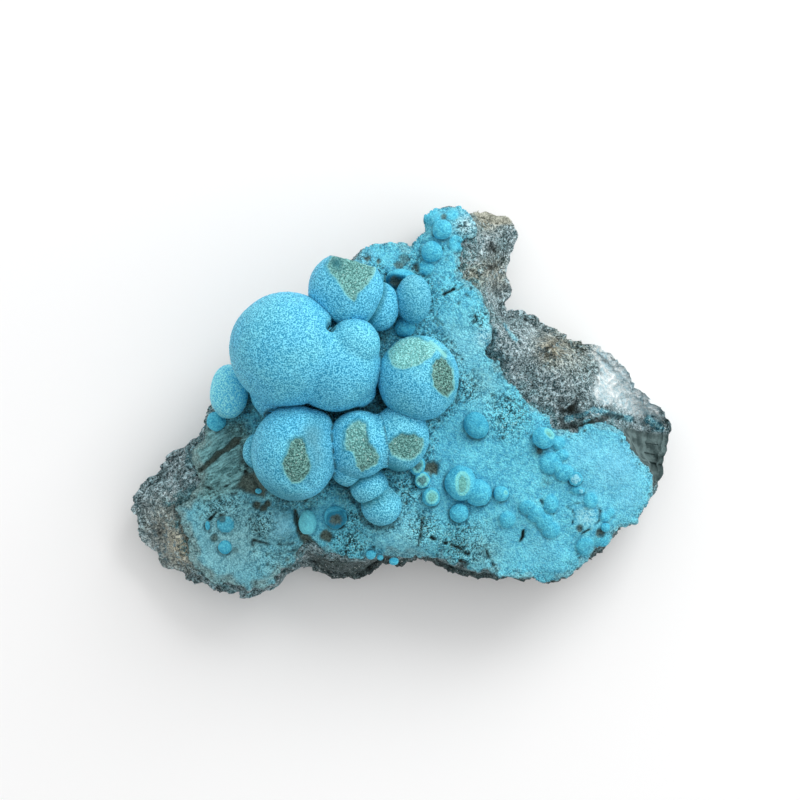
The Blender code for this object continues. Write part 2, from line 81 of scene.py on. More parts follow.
ROCK_OUTLINE = (
    (67.0, -7.1), (66.2, -4.1), (63.5, -1.1), (59.8, 3.1), (57.3, 5.6), (54.8, 9.4), (52.3, 12.1),
    (47.3, 14.3), (43.5, 15.1), (37.5, 18.8), (34.8, 19.6), (32.8, 21.1), (30.1, 23.1), (26.6, 22.8),
    (25.8, 25.3), (27.8, 28.1), (26.6, 31.1), (26.6, 33.8), (27.3, 37.3), (29.1, 41.8), (27.8, 45.5),
    (23.3, 46.0), (20.3, 47.3), (17.3, 46.5), (14.1, 48.5), (9.6, 48.5), (6.4, 47.0), (6.0, 43.3),
    (4.5, 41.4), (2.4, 39.5), (-2.4, 39.7), (-7.4, 38.8), (-10.4, 37.3), (-12.6, 34.8), (-16.1, 32.3),
    (-19.6, 29.1), (-24.3, 25.3), (-29.3, 22.6), (-34.1, 18.8), (-37.1, 14.1), (-39.3, 9.4), (-42.0, 5.1),
    (-45.8, 0.4), (-48.8, -3.4), (-49.3, -6.4), (-51.5, -9.6), (-57.3, -13.1), (-59.5, -15.6),
    (-61.3, -18.8), (-65.0, -21.3), (-66.7, -24.6), (-65.2, -27.6), (-65.0, -31.6), (-64.0, -35.1),
    (-60.5, -36.8), (-59.5, -40.3), (-56.8, -42.0), (-52.5, -43.5), (-46.0, -46.5), (-42.0, -47.5),
    (-38.5, -48.5), (-34.1, -47.8), (-30.8, -46.0), (-29.1, -43.3), (-25.8, -41.8), (-22.3, -41.5),
    (-16.8, -44.0), (-11.1, -44.0), (-7.6, -42.0), (-4.1, -40.0), (-0.4, -41.5), (5.1, -39.0),
    (11.6, -42.0), (15.8, -43.8), (20.8, -44.5), (25.6, -43.8), (32.3, -44.3), (37.3, -46.0), (42.3, -44.0),
    (46.8, -39.8), (51.3, -36.8), (52.8, -34.1), (55.8, -31.8), (59.8, -30.6), (62.3, -24.6), (65.0, -19.1),
    (66.0, -15.1), (66.5, -11.1),
)

CRUST_OUTLINE = (
    (14.4, 48.3), (17.4, 46.4), (18.4, 43.2), (17.6, 40.4), (15.0, 38.6), (15.2, 36.4), (14.2, 30.0),
    (18.1, 27.4), (20.8, 22.7), (22.3, 17.4), (20.8, 12.0), (25.9, 5.2), (30.0, 0.4), (33.9, -2.8),
    (37.8, -6.9), (42.4, -7.2), (46.1, -4.7), (49.2, -4.0), (53.4, -6.7), (56.3, -11.3), (60.9, -16.2),
    (61.8, -20.1), (60.2, -25.0), (57.9, -29.7), (53.5, -31.2), (50.0, -35.0), (45.0, -38.7), (40.9, -42.4),
    (36.1, -44.5), (31.5, -42.4), (24.2, -42.2), (16.9, -40.2), (12.0, -38.6), (7.2, -37.6), (4.3, -37.6),
    (-0.1, -37.6), (-5.0, -36.6), (-12.3, -37.6), (-19.6, -35.6), (-23.0, -34.2), (-26.4, -38.5),
    (-29.1, -42.0), (-33.7, -45.8), (-37.8, -46.3), (-45.1, -44.4), (-49.7, -42.2), (-51.9, -38.5),
    (-52.2, -34.9), (-54.1, -31.3), (-54.8, -26.4), (-48.8, -19.6), (-50.7, -15.7), (-52.2, -12.3),
    (-48.8, -9.4), (-47.1, -4.5), (-43.4, -0.1), (-40.0, 4.3), (-37.1, 8.6), (-34.7, 13.3), (-31.7, 17.9),
    (-26.9, 21.5), (-22.0, 24.2), (-17.6, 28.1), (-14.2, 31.5), (-11.1, 34.2), (-8.4, 37.1), (-2.3, 38.3),
    (2.3, 37.8), (4.1, 39.7), (5.5, 42.2), (6.2, 45.4), (9.6, 47.1),
)

# Where the rock's broken edge stands out or back: place, radius, how far.
ROCK_GROWTH = (
    (26.5, 46.5, 6.0, 1.1), (29.0, 38.0, 6.0, -0.1), (8.0, 48.0, 7.0, -0.9), (16.5, 49.0, 4.0, 0.6),
    (-67.0, -28.0, 9.0, 1.1), (-62.0, -41.0, 7.0, 0.9), (-50.0, -46.0, 7.0, 0.6), (-13.0, -44.0, 9.0, 0.9),
    (27.0, 32.0, 8.0, 0.6), (45.0, 16.0, 12.0, 0.4), (67.0, -8.0, 9.0, 0.4), (46.0, -41.0, 8.0, -0.9),
    (60.0, -28.0, 7.0, -0.6), (2.0, 39.0, 8.0, -0.5),
)
# Swells of the crust, then hills and pits of the rock: place, radius, height.
CRUST_SWELLS = (
    (-30.2, -29.9, 5.0, 1.6), (-30.0, -29.8, 7.0, -1.4), (-0.1, -32.2, 7.5, 1.8), (10.0, 43.0, 5.0, 2.5),
    (-46.0, -30.0, 6.0, -1.6), (-35.0, -41.0, 6.0, 1.4), (26.0, -35.0, 7.0, -1.5), (44.0, -27.0, 8.0, 1.2),
    (-15.7, -33.0, 2.6, -1.2),
)
ROCK_RELIEF = (
    (21.5, 41.5, 6.0, 3.6), (22.6, 37.7, 1.9, -2.8), (22.5, 33.4, 2.1, -2.6), (24.1, 28.6, 1.8, -2.0),
    (28.0, 15.0, 6.0, 1.6), (36.5, 12.8, 3.0, -3.0), (43.5, 9.5, 4.0, 1.8), (50.0, 4.5, 4.5, 2.2),
    (30.5, 6.5, 1.6, -0.9), (41.0, -1.5, 4.5, -2.0), (60.0, -3.0, 4.0, 1.8), (-58.0, -24.0, 4.0, 2.2),
    (-60.0, -32.0, 1.8, -1.2), (-56.5, -36.5, 3.0, 1.6),
)
# Broken faces of the rock: a point on each, the way it faces in plan, fall per mm.
FRACTURES = (
    ((57.6, -11.0, 21.0), (0.81, 0.58), 1.15),
    ((42.0, 10.0, 24.0), (0.55, 0.83), 0.75),
    ((26.0, 38.0, 27.5), (0.97, 0.22), 1.10),
    ((-58.0, -17.0, 19.0), (-0.86, 0.51), 0.85),
    ((-58.0, -38.0, 16.5), (-0.70, -0.71), 0.70),
    ((12.0, -41.0, 21.0), (0.10, -0.99), 1.60),
)

# Cracks and slits of the crust: points along them, half width, depth.
CRUST_CRACKS = (
    (((-37.8, -17.1), (-35.9, -19.0), (-34.6, -21.5)), 0.40, 1.0),
    (((-50.0, -20.0), (-46.0, -21.5), (-42.0, -20.5)), 0.30, 0.6),
    (((-47.0, -29.2), (-45.2, -27.2)), 0.40, 0.8),
    (((-38.0, -32.5), (-36.0, -35.0)), 0.30, 0.5),
    (((34.1, -23.9), (35.3, -26.0), (37.1, -27.3)), 0.28, 0.7),
    (((29.9, -31.3), (29.6, -33.0), (28.9, -34.6)), 0.32, 1.1),
    (((4.9, -26.4), (5.2, -30.0), (4.3, -34.9)), 0.40, 0.7),
    (((47.3, -24.7), (48.6, -26.6), (48.5, -28.8), (46.6, -30.7), (44.0, -32.2)), 0.17, 0.7),
    (((44.4, -24.7), (42.1, -24.9), (40.3, -25.5), (41.8, -26.4), (42.3, -27.7), (41.8, -29.6)), 0.17, 0.6),
    (((40.9, -18.2), (41.6, -20.4), (43.4, -20.4), (44.0, -18.6), (43.0, -17.5)), 0.16, 0.6),
    (((43.2, -21.9), (43.9, -22.5), (44.5, -21.9), (43.9, -21.1)), 0.18, 0.5),
    (((7.4, -33.0), (9.8, -34.0), (11.8, -35.1)), 0.45, 1.0),
    (((12.6, -34.8), (14.6, -35.6), (15.4, -36.6), (16.6, -37.0)), 0.45, 1.0),
    (((20.4, -35.1), (21.6, -38.0), (23.6, -41.4)), 0.28, 0.9),
    (((14.5, -38.6), (17.0, -39.6)), 0.40, 1.0),
    (((-37.0, -33.6), (-32.0, -34.8), (-26.0, -34.6)), 0.35, 0.6),
    (((-36.0, -36.6), (-30.0, -37.2), (-25.0, -36.2)), 0.25, 0.5),
    (((15.8, 26.1), (16.9, 25.0), (17.5, 24.2), (17.6, 21.8)), 0.25, 0.6),
    (((18.0, 21.0), (18.6, 19.6), (19.3, 18.3)), 0.25, 0.6),
    (((8.6, 19.1), (9.8, 17.3)), 0.20, 0.5),
    (((8.4, 20.3), (10.2, 18.6)), 0.20, 0.5),
    (((9.8, 25.6), (13.0, 27.3)), 0.28, 0.9),
    (((10.2, 37.4), (11.4, 35.6), (11.2, 34.4), (10.6, 33.2)), 0.40, 1.2),
    (((14.6, 33.6), (13.6, 32.8)), 0.30, 1.0),
    (((38.0, -5.6), (41.5, -6.4), (45.5, -5.2), (49.0, -4.2)), 0.55, 1.2),
    (((12.5, 10.5), (14.0, 4.5), (13.5, -2.0)), 0.35, 0.5),
    (((22.0, 1.8), (26.5, 0.6), (30.5, -2.5)), 0.25, 0.5),
)
# Wide gashes with a brown floor: points along each, half width.
GASHES = (
    (((-49.3, -17.2), (-46.3, -14.6), (-44.1, -12.6), (-42.4, -11.4)), 0.75),
    (((-43.6, -12.6), (-41.4, -10.6), (-38.6, -8.6)), 0.85),
    (((-25.6, -26.5), (-24.9, -30.0), (-22.6, -34.0), (-20.6, -36.6), (-22.4, -40.0)), 1.05),
)
# Pits of the crust: place, radius, depth, how brown.
CRUST_PITS = (
    (7.4, -15.9, 2.0, 1.3, 1.0), (-15.2, -29.4, 1.4, 1.6, 0.9), (-18.2, -32.7, 1.5, 1.3, 1.0),
    (48.5, -32.0, 1.2, 1.5, 0.9), (43.5, -30.7, 1.0, 0.6, 0.9), (-43.7, -28.7, 1.0, 1.2, 0.8),
    (-45.7, -33.6, 1.1, 1.0, 0.8), (-35.0, -25.2, 1.0, 1.5, 1.0), (-33.4, -26.0, 1.0, 1.5, 1.0),
    (-32.4, -24.8, 0.9, 1.2, 1.0), (-8.1, 34.7, 0.9, 0.8, 0.9), (-5.3, 34.0, 0.8, 0.8, 0.9),
    (-0.4, 33.2, 1.1, 0.8, 0.8), (0.9, 34.6, 1.4, 0.8, 0.6), (4.0, 32.4, 1.0, 0.9, 0.8),
    (10.4, 44.8, 0.7, 1.1, 0.8), (33.7, -12.0, 0.8, 1.0, 0.7), (23.7, -4.9, 0.7, 0.9, 0.3),
    (-21.0, -38.0, 1.0, 0.9, 0.6), (-27.5, -38.6, 0.6, 0.7, 0.6), (-40.5, -36.5, 0.9, 0.8, 0.4),
)
# Where the crust is most pitted with dark specks: place, radius, amount.
SPECKLED = (
    (1.1, -21.5, 5.0, 0.9), (-11.8, -28.1, 3.5, 0.9), (5.7, -30.7, 4.5, 1.0), (-12.3, -34.9, 5.5, 1.0),
    (10.8, 27.1, 6.0, 0.4), (26.0, -3.0, 6.0, 0.9), (-34.0, -30.0, 3.5, 1.0), (-44.0, -25.0, 7.0, 0.8),
    (15.0, -35.0, 7.0, 0.9), (15.8, 42.0, 4.0, 0.9), (19.5, 20.0, 3.0, 0.9), (16.0, 3.0, 4.0, 0.9),
    (3.0, 33.0, 5.0, 0.6), (-30.0, -40.0, 8.0, 0.5),
)
# Where the crust is smooth and light, and where it is greyer: place, radius, amount.
EVEN = (
    (53.0, -16.0, 8.0, 1.0), (46.0, -12.0, 6.0, 0.7), (56.0, -23.0, 5.0, 0.8), (34.0, -36.0, 5.0, 0.4),
    (-9.0, 35.5, 2.6, 0.8), (-28.8, -30.3, 4.2, 1.0),
)
GREYED = (
    (-42.0, -34.0, 14.0, 0.85), (-30.0, -41.0, 8.0, 0.65), (0.0, -32.0, 8.0, 0.4), (15.0, 13.0, 8.0, 0.4),
    (20.0, 5.0, 6.0, 0.4), (20.0, -37.0, 6.0, 0.4), (-46.0, -26.0, 6.0, 0.5),
)
# Where the crust is dark, from stains and from painted shadow beside and under the large balls: place,
# radius, amount.
STAINS_AND_SHADOWS = (
    (-26.5, -35.2, 4.0, 0.55), (-17.5, -38.5, 3.5, 0.6), (-28.5, -25.0, 3.5, 0.7),
    (-36.0, -25.0, 3.0, 0.55), (-43.1, -3.5, 3.0, 0.75), (-39.6, -6.6, 3.2, 0.9), (-22.5, -25.0, 2.5, 0.7),
    (-14.0, -22.5, 2.5, 0.7), (-34.5, -33.5, 2.5, 0.4), (-12.5, 0.0, 3.0, 0.8), (-1.5, -1.6, 2.0, 0.8),
    (5.0, 31.6, 2.5, 0.5), (-4.2, 15.8, 2.0, 0.85), (-36.5, -1.0, 3.0, 0.8), (12.0, -34.5, 4.0, 0.45),
    (19.3, 5.2, 3.0, 0.35), (12.0, 17.4, 2.5, 0.3), (20.5, -38.0, 3.5, 0.55), (33.2, -12.0, 1.6, 0.7),
    (35.5, -19.5, 1.6, 0.6),
)
# Paler places of the crust, bluer and rusty places of the rock: place, radius, amount.
PALE_SPOTS = ((16.2, 42.8, 2.8, 0.9), (20.5, 15.5, 2.0, 0.6), (45.2, -28.0, 2.6, 0.35))
BLUE_SPOTS = ((-55.0, -25.0, 6.0, 0.6), (-52.0, -36.0, 4.0, 0.8), (18.0, 33.0, 4.5, 0.8))
RUST_SPOTS = (
    (-54.0, -37.0, 5.0, 0.9), (-58.0, -30.0, 6.0, 0.5), (36.5, 12.8, 3.5, 0.75), (42.0, 14.0, 7.0, 0.5),
    (21.5, 45.5, 3.5, 0.9), (23.5, 32.0, 4.5, 0.6), (17.5, 30.5, 3.0, 0.6),
)
# The thin, banded grey-green part of the crust, and the brown patch beside it.
BANDED = (
    (-53.0, -9.0), (-47.0, -6.0), (-38.3, -5.0), (-35.5, -10.0), (-36.0, -16.6), (-38.0, -21.5),
    (-47.3, -24.6), (-54.0, -24.4), (-56.0, -18.6),
)
BROWN_PATCH = (
    (-40.0, -20.8), (-38.5, -17.6), (-35.6, -17.1), (-32.5, -21.0), (-33.0, -23.5), (-37.8, -22.2),
)
# The smooth broken face at the right end, painted dark as painted shade.
SHADED_FACE = (
    (54.2, -8.0), (56.4, -6.4), (60.4, -7.6), (67.5, -8.2), (67.5, -12.0), (66.0, -19.0), (62.0, -21.0),
    (60.7, -16.2), (56.3, -11.3),
)
# Thin blue ridges of chrysocolla on the rock, and streaks: points, half width, height.
BLUE_RIDGES = (
    (((40.7, -4.3), (44.3, -3.4), (47.3, -2.0), (49.6, -2.4), (54.0, -3.6), (57.5, -4.4)), 0.55, 0.8),
    (((25.4, 19.0), (26.5, 17.0), (28.0, 15.0)), 0.30, 0.3),
    (((62.2, -4.4), (63.6, -5.6), (64.6, -6.6)), 0.80, 0.3),
)

# The white quartz face at the right.
QUARTZ_FACE = (
    (46.5, 13.0), (50.5, 15.5), (56.0, 10.5), (61.0, 4.5), (66.0, -3.5), (62.5, -5.6), (58.0, -3.6),
    (55.0, -2.6), (50.0, 0.5), (46.8, 1.6), (48.2, 5.0), (49.2, 8.5),
)
# A dark seam on the rock above the right part of the crust.
ROCK_SEAM = (
    (39.1, -4.3), (39.9, -6.1), (42.9, -5.9), (45.9, -4.8), (49.2, -4.3), (51.8, -3.3), (54.8, -3.9),
)

# The tan lip along the top of the knob.
TAN_LIP = ((18.5, 47.6), (21.0, 46.6), (24.0, 45.4), (27.5, 45.6))

# Small balls on the crust: x, y, radius, flatness (1 is round), stretch along y and kind.
SMALL_BALLS = (
    (18.3, -5.7, 2.8, 0.62, 1.18, "lens"),
    (14.5, -19.6, 3.8, 0.80, 1.10, "ringed"),
    (18.8, -22.0, 3.2, 0.75, 1.00, "plain"),
    (14.2, -26.9, 2.3, 0.75, 1.00, "plain"),
    (7.4, -23.0, 2.2, 0.90, 1.05, "ringed"),
    (4.1, -15.4, 1.9, 0.70, 1.30, "broken"),
    (5.3, -18.9, 1.9, 0.65, 1.10, "broken"),
    (24.4, -22.2, 1.9, 0.75, 1.00, "dotted"),
    (25.9, -28.6, 2.1, 0.60, 1.05, "soft"),
    (34.6, -8.7, 2.8, 0.75, 0.95, "chipped"),
    (38.3, -9.9, 1.9, 0.70, 0.90, "soft"),
    (36.4, -14.9, 2.8, 0.55, 1.00, "soft"),
    (39.2, -12.9, 1.8, 0.60, 0.80, "soft"),
    (39.8, -17.3, 2.5, 0.60, 0.85, "soft"),
    (42.5, -18.7, 1.7, 0.35, 1.00, "disc"),
    (42.8, -21.4, 1.4, 0.60, 0.80, "soft"),
    (43.9, -21.7, 0.8, 0.50, 1.00, "disc"),
    (36.6, -24.8, 1.9, 0.60, 1.30, "soft"),
    (30.8, -25.6, 2.1, 0.55, 0.90, "soft"),
    (33.0, -27.4, 2.3, 0.55, 0.90, "soft"),
    (35.0, -29.2, 2.2, 0.55, 0.95, "soft"),
    (36.6, -31.2, 2.4, 0.55, 0.90, "soft"),
    (46.3, -24.0, 1.9, 0.50, 1.10, "soft"),
    (49.9, -28.1, 1.4, 0.60, 1.00, "soft"),
    (49.9, -30.6, 1.1, 0.60, 1.00, "plain"),
    (51.3, -27.0, 1.2, 0.60, 1.00, "soft"),
    (45.1, -35.2, 2.3, 0.60, 1.00, "soft"),
    (49.0, -34.3, 1.9, 0.50, 1.00, "soft"),
    (-22.5, -29.3, 2.2, 0.90, 1.40, "bright"),
    (-15.7, -28.0, 2.8, 0.70, 1.00, "holed"),
    (-7.2, -37.2, 1.3, 0.90, 0.90, "plain"),
    (-4.9, -37.9, 0.8, 0.90, 0.90, "plain"),
    (-1.6, -38.8, 1.2, 0.80, 0.80, "plain"),
    (-43.0, -35.7, 1.7, 0.45, 1.00, "plain"),
    (-42.9, -30.1, 2.3, 0.60, 0.95, "soft"),
    (-30.2, -29.7, 5.3, 0.42, 0.80, "soft"),
    (-47.4, -30.5, 0.6, 0.60, 1.80, "plain"),
    (-34.6, -21.8, 0.8, 0.80, 0.80, "plain"),
    (7.6, 36.4, 2.6, 0.90, 1.00, "plain"),
    (10.1, 41.6, 2.4, 0.85, 1.00, "plain"),
    (13.6, 38.4, 2.0, 0.45, 1.10, "soft"),
    (7.6, 44.9, 2.1, 0.50, 1.00, "soft"),
    (12.6, 45.4, 1.8, 0.40, 0.90, "soft"),
    (6.2, 32.5, 2.0, 0.50, 1.00, "soft"),
    (0.1, 29.6, 3.7, 1.00, 0.66, "cup"),
    (1.1, 18.0, 2.4, 0.95, 1.00, "plain"),
    (-45.0, -4.8, 2.4, 0.95, 1.00, "plain"),
)

# The large balls: lobes (x, y, z, radius along x, radius along y), a place inside from which the skin is
# found, softness between lobes, cells of the mesh along a cube edge, the windows (outline in plan, the
# way the broken face points, its distance from the first lobe's middle) and flat breaks right through
# the ball.
BALLS = {
    "great": {
        "lobes": (
            (-27.0, 12.4, 38.0, 13.8, 13.7),
            (-15.6, 8.3, 37.0, 11.0, 10.7),
            (-11.3, 13.4, 40.5, 6.5, 6.4),
            (-28.2, 2.9, 30.5, 8.0, 8.0),
            (-10.2, 2.6, 36.0, 4.4, 4.0),
        ),
        "heart": (-23.5, 10.5, 37.0),
        "blend": 0.45,
        "cells": 110,
    },
    "top": {
        "lobes": ((-13.0, 26.6, 36.0, 9.1, 9.1), (-4.9, 22.9, 33.0, 4.7, 6.0)),
        "heart": (-12.2, 26.2, 35.0),
        "blend": 0.4,
        "cells": 76,
        "windows": (
            (
                (
                    (-15.9, 37.0), (-6.0, 37.0), (-6.0, 30.8), (-7.3, 28.4), (-9.7, 25.8),
                    (-11.0, 23.5), (-12.6, 25.2), (-14.6, 28.2), (-16.4, 30.4), (-17.6, 32.0),
                    (-16.6, 34.0),
                ),
                (0.05, 0.35, 0.94),
                7.2,
            ),
        ),
        "breaks": (((0.27, 0.96, 0.0), 7.2),),
    },
    "drop": {
        "lobes": ((3.1, 24.7, 32.0, 4.4, 5.9),),
        "heart": (3.0, 24.0, 31.6),
        "blend": 0.3,
        "cells": 46,
    },
    "right": {
        "lobes": ((4.2, 5.6, 36.0, 9.7, 10.3),),
        "heart": (4.2, 5.6, 35.5),
        "blend": 0.5,
        "cells": 80,
        "windows": (
            (
                (
                    (-2.8, 12.6), (-2.2, 14.0), (-0.4, 15.3), (2.0, 15.7), (4.4, 15.2),
                    (6.9, 13.9), (8.4, 12.4), (7.2, 10.6), (4.8, 9.0), (2.2, 8.0), (0.0, 7.5),
                    (-1.9, 8.6), (-2.7, 10.6),
                ),
                (-0.20, 0.60, 0.77),
                8.9,
            ),
            (
                (
                    (8.4, 10.0), (9.8, 10.7), (11.0, 10.0), (12.3, 7.6), (12.8, 4.8), (12.7, 2.8),
                    (11.4, 1.0), (9.4, 1.8), (7.8, 3.8), (7.4, 6.4), (7.7, 8.6),
                ),
                (0.64, 0.05, 0.77),
                9.15,
            ),
        ),
    },
    "lower_left": {
        "lobes": (
            (-25.3, -12.2, 36.0, 10.4, 11.4),
            (-34.5, -12.0, 30.5, 3.6, 4.4),
            (-20.6, -6.5, 37.0, 4.6, 4.6),
        ),
        "heart": (-25.3, -12.3, 34.0),
        "blend": 0.6,
        "cells": 84,
        "windows": (
            (
                (
                    (-25.9, -9.2), (-24.7, -8.2), (-23.0, -8.4), (-22.2, -10.0), (-21.5, -13.0),
                    (-20.8, -15.2), (-21.6, -17.6), (-23.7, -19.7), (-25.6, -19.4),
                    (-27.4, -17.2), (-28.0, -14.6), (-26.9, -12.4),
                ),
                (0.06, -0.13, 0.99),
                10.0,
            ),
        ),
    },
    "lower_middle": {
        "lobes": (
            (-9.9, -10.2, 36.0, 7.7, 8.2),
            (-12.4, -15.6, 34.0, 4.4, 4.8),
            (-7.5, -20.4, 32.6, 4.6, 4.5),
            (-4.6, -25.1, 31.2, 4.9, 4.8),
        ),
        "heart": (-8.6, -14.6, 33.5),
        "blend": 0.2,
        "cells": 76,
        "windows": (
            (
                (
                    (-13.4, -9.8), (-13.0, -7.0), (-11.6, -5.2), (-9.8, -4.4), (-8.2, -5.2),
                    (-7.8, -7.6), (-7.6, -9.6), (-6.2, -11.0), (-5.0, -13.0), (-5.4, -14.6),
                    (-7.2, -15.6), (-9.2, -16.8), (-10.2, -15.2), (-10.8, -13.0),
                    (-11.6, -11.8), (-13.2, -11.4),
                ),
                (0.0, -0.05, 1.0),
                6.5,
            ),
        ),
    },
    "lower_right": {
        "lobes": ((-0.1, -8.6, 34.4, 7.0, 8.0),),
        "heart": (0.2, -8.8, 33.5),
        "blend": 0.5,
        "cells": 60,
        "windows": (
            (
                (
                    (-2.9, -10.6), (-1.8, -8.8), (0.6, -7.6), (3.2, -7.7), (5.2, -8.8),
                    (5.7, -10.2), (4.8, -12.2), (2.6, -13.9), (0.2, -14.1), (-2.0, -12.8),
                ),
                (0.20, -0.28, 0.94),
                6.3,
            ),
        ),
    },
    "left": {
        "lobes": ((-41.6, 2.3, 27.0, 4.6, 6.6),),
        "heart": (-41.8, 1.8, 27.0),
        "blend": 0.3,
        "cells": 46,
    },
}
# How far some balls stand in front of those that they meet.
FORWARD = {"lower_left": 0.8, "lower_middle": 0.8}
# Lobes of one ball that meet in a creased line.
CREASED = {
    "top": ((0,), (1,)),
    "lower_left": ((0, 2), (1,)),
    "lower_middle": ((0, 1), (2,), (3,)),
}
# Neighbours that run into each other, and over what width.
JOINED = (
    ("lower_middle", "lower_right", 1.8),
    ("lower_left", "lower_middle", 0.5),
)
# A deep dimple of the great ball: place, radius and depth.
DIMPLE = (-15.7, 18.3, 1.25, 3.2)
# How much painted shade each ball gets on its low side, the way that side faces, and how far the painted
# shadow beside it reaches over the crust.
SHADED_BELOW = {
    "lower_left": 0.65,
    "lower_middle": 0.35,
    "lower_right": 0.75,
    "right": 0.35,
    "left": 0.30,
}
LOW_SIDE = (0.35, 0.92, 0.10)
SHADE_REACH = (0.8, 1.1)
# Dark spots on the balls: place, radius, amount. The top ball's is painted shade in a hollow beside its
# window.
DARK_SPOTS = {
    "top": (-15.3, 33.2, 1.6, 0.85),
    "right": (10.5, 11.6, 0.8, 0.80),
}
# Balls that are tinted all over: the drop ball darker, and the left ball paler as painted light, making up
# for the great ball's shade on it.
EVEN_TINTS = {
    "drop": (("worn", 0.2), ("painted_shade_and_tone", 0.15)),
    "left": (("pale", 0.95),),
}
# The wide worn crater round the lower left ball's window, and its depth.
WORN_CRATER = (
    (-27.6, -9.1), (-23.6, -6.7), (-19.4, -8.1), (-17.5, -11.9), (-18.5, -17.5), (-21.1, -21.3),
    (-26.0, -21.3), (-29.3, -18.0), (-28.1, -12.6),
)
WORN_DEPTH = 0.7
# How pale the druse is in each window, and the pale bridge between the right ball's two windows.
WINDOW_TONES = {"top": (0.5,), "right": (1.0, 0.1), "lower_right": (0.4,)}
RIM_BRIDGE = ((7.2, 14.2), (9.2, 12.4), (10.6, 10.8))
FARTHEST_SKIN = 32.0  # no ball's skin is farther from its heart
HALVINGS = 22  # steps of the search for the skin


# ---------------------------------------------------------------- formulas


def lattice(cells, seed):
    """A repeatable value from -1 to 1 for every whole-numbered cell."""
    mixed = cells[:, 0] * 73856093 ^ cells[:, 1] * 19349663 ^ cells[:, 2] * 83492791
    mixed = (mixed ^ seed * 2654435761) & 0xFFFFFFFF
    mixed = ((mixed ^ (mixed >> 13)) * 1274126177) & 0xFFFFFFFF
    return ((mixed ^ (mixed >> 16)) & 0xFFFF) / 32767.5 - 1.0


def raised(points, level=0.0):
    """Plan points lifted to a level; points in space stay as they are."""
    if points.shape[1] == 3:
        return points
    return np.column_stack((points, np.full(len(points), level)))


def value_noise(points, size, seed):
    """Smooth noise from -1 to 1, with lumps of the given size."""
    scaled = raised(points) / size
    corner = np.floor(scaled)
    part = scaled - corner
    part = part * part * (3.0 - 2.0 * part)
    corner = corner.astype(np.int64)
    total = np.zeros(len(points))
    for step in np.ndindex(2, 2, 2):
        weight = np.prod(np.where(np.array(step) == 1, part, 1.0 - part), axis=1)
        total += weight * lattice(corner + np.array(step), seed)
    return total


def turned(points, seed):
    """The points turned by an angle of the seed's own, so that noises don't share one lattice."""
    points = raised(points)
    angle = 0.7 + 1.3 * seed
    across = math.cos(angle) * points[:, 0] - math.sin(angle) * points[:, 1]
    along = math.sin(angle) * points[:, 0] + math.cos(angle) * points[:, 1]
    tilted = 0.8 * along + 0.6 * points[:, 2]
    return np.column_stack((across, tilted, 0.8 * points[:, 2] - 0.6 * along + 0.37 * seed))


def rugged(points, size, seed, octaves=3):
    """Noise with finer and weaker noise on top."""
    total = np.zeros(len(points))
    for octave in range(octaves):
        place = turned(points, seed + octave)
        total += 0.6**octave * value_noise(place, size / 2.03**octave, seed + octave)
    return total


def holes(points, size, seed, amount):
    """Scattered irregular holes, from 0 to 1, in as many cells as the amount asks for."""
    waver = 0.22 * size * rugged(points, 0.7 * size, seed + 5, 2)
    scaled = (turned(points, seed) + waver[:, None]) / size
    corner = np.floor(scaled).astype(np.int64)
    deepest = np.zeros(len(points))
    for step in np.ndindex(3, 3, 3):
        cell = corner + np.array(step) - 1
        shift = np.column_stack([lattice(cell, seed + k) for k in range(3)])
        chance = 0.5 + 0.5 * lattice(cell, seed + 3)
        wide = 0.34 + 0.16 * lattice(cell, seed + 4)
        away = np.linalg.norm(scaled - (cell + 0.5 + 0.45 * shift), axis=1)
        hole = fade(away, 0.55 * wide, 1.1 * wide) * (chance < amount)
        deepest = np.maximum(deepest, hole)
    return deepest


def grains(points, size, seed):
    """Angular grains: how high the tilted face of the nearest grain stands at each point."""
    scaled = points / size
    corner = np.floor(scaled).astype(np.int64)
    nearest = np.full(len(points), np.inf)
    tilt = np.zeros(len(points))
    for step in np.ndindex(3, 3, 3):
        cell = corner + np.array(step) - 1
        shift = np.column_stack([lattice(cell, seed + k) for k in range(3)])
        away = scaled - (cell + 0.5 + 0.42 * shift)
        apart = (away * away).sum(axis=1)
        closer = apart < nearest
        nearest = np.where(closer, apart, nearest)
        lean = (away * shift[:, (1, 2, 0)]).sum(axis=1)
        tilt = np.where(closer, lean, tilt)
    return tilt


def smooth_step(value, low, high):
    """0 up to the low value, rising smoothly to 1 at the high one."""
    t = np.clip((value - low) / (high - low), 0.0, 1.0)
    return t * t * (3.0 - 2.0 * t)


def fade(value, low, high):
    """1 up to the low value, falling smoothly to 0 at the high one."""
    return 1.0 - smooth_step(value, low, high)


def inside_distance(plan, outline):
    """Distance from each plan point to an outline, positive inside it."""
    start = np.array(outline)
    edge = np.roll(start, -1, axis=0) - start
    nearest = np.full(len(plan), np.inf)
    inside = np.zeros(len(plan), dtype=bool)
    for (ax, ay), (ex, ey) in zip(start, edge):
        px = plan[:, 0] - ax
        py = plan[:, 1] - ay
        t = np.clip((px * ex + py * ey) / (ex * ex + ey * ey), 0.0, 1.0)
        nearest = np.minimum(nearest, np.hypot(px - t * ex, py - t * ey))
        crosses = (ay > plan[:, 1]) != (ay + ey > plan[:, 1])
        if ey != 0.0:
            inside ^= crosses & (px < py * ex / ey)
    return np.where(inside, nearest, -nearest)


def line_distance(plan, points):
    """Distance in plan from a line through several points."""
    nearest = np.full(len(plan), np.inf)
    for start, end in zip(points, points[1:]):
        along = np.array(end) - np.array(start)
        away = plan - np.array(start)
        t = np.clip(away @ along / (along @ along), 0.0, 1.0)
        nearest = np.minimum(nearest, np.linalg.norm(away - t[:, None] * along, axis=1))
    return nearest


def soft_spot(plan, x, y, radius):
    return np.exp(-((plan[:, 0] - x) ** 2 + (plan[:, 1] - y) ** 2) / radius**2)


def hills(plan, spots):
    """Soft spots added up: place, radius and height of each."""
    return sum(height * soft_spot(plan, x, y, radius) for x, y, radius, height in spots)


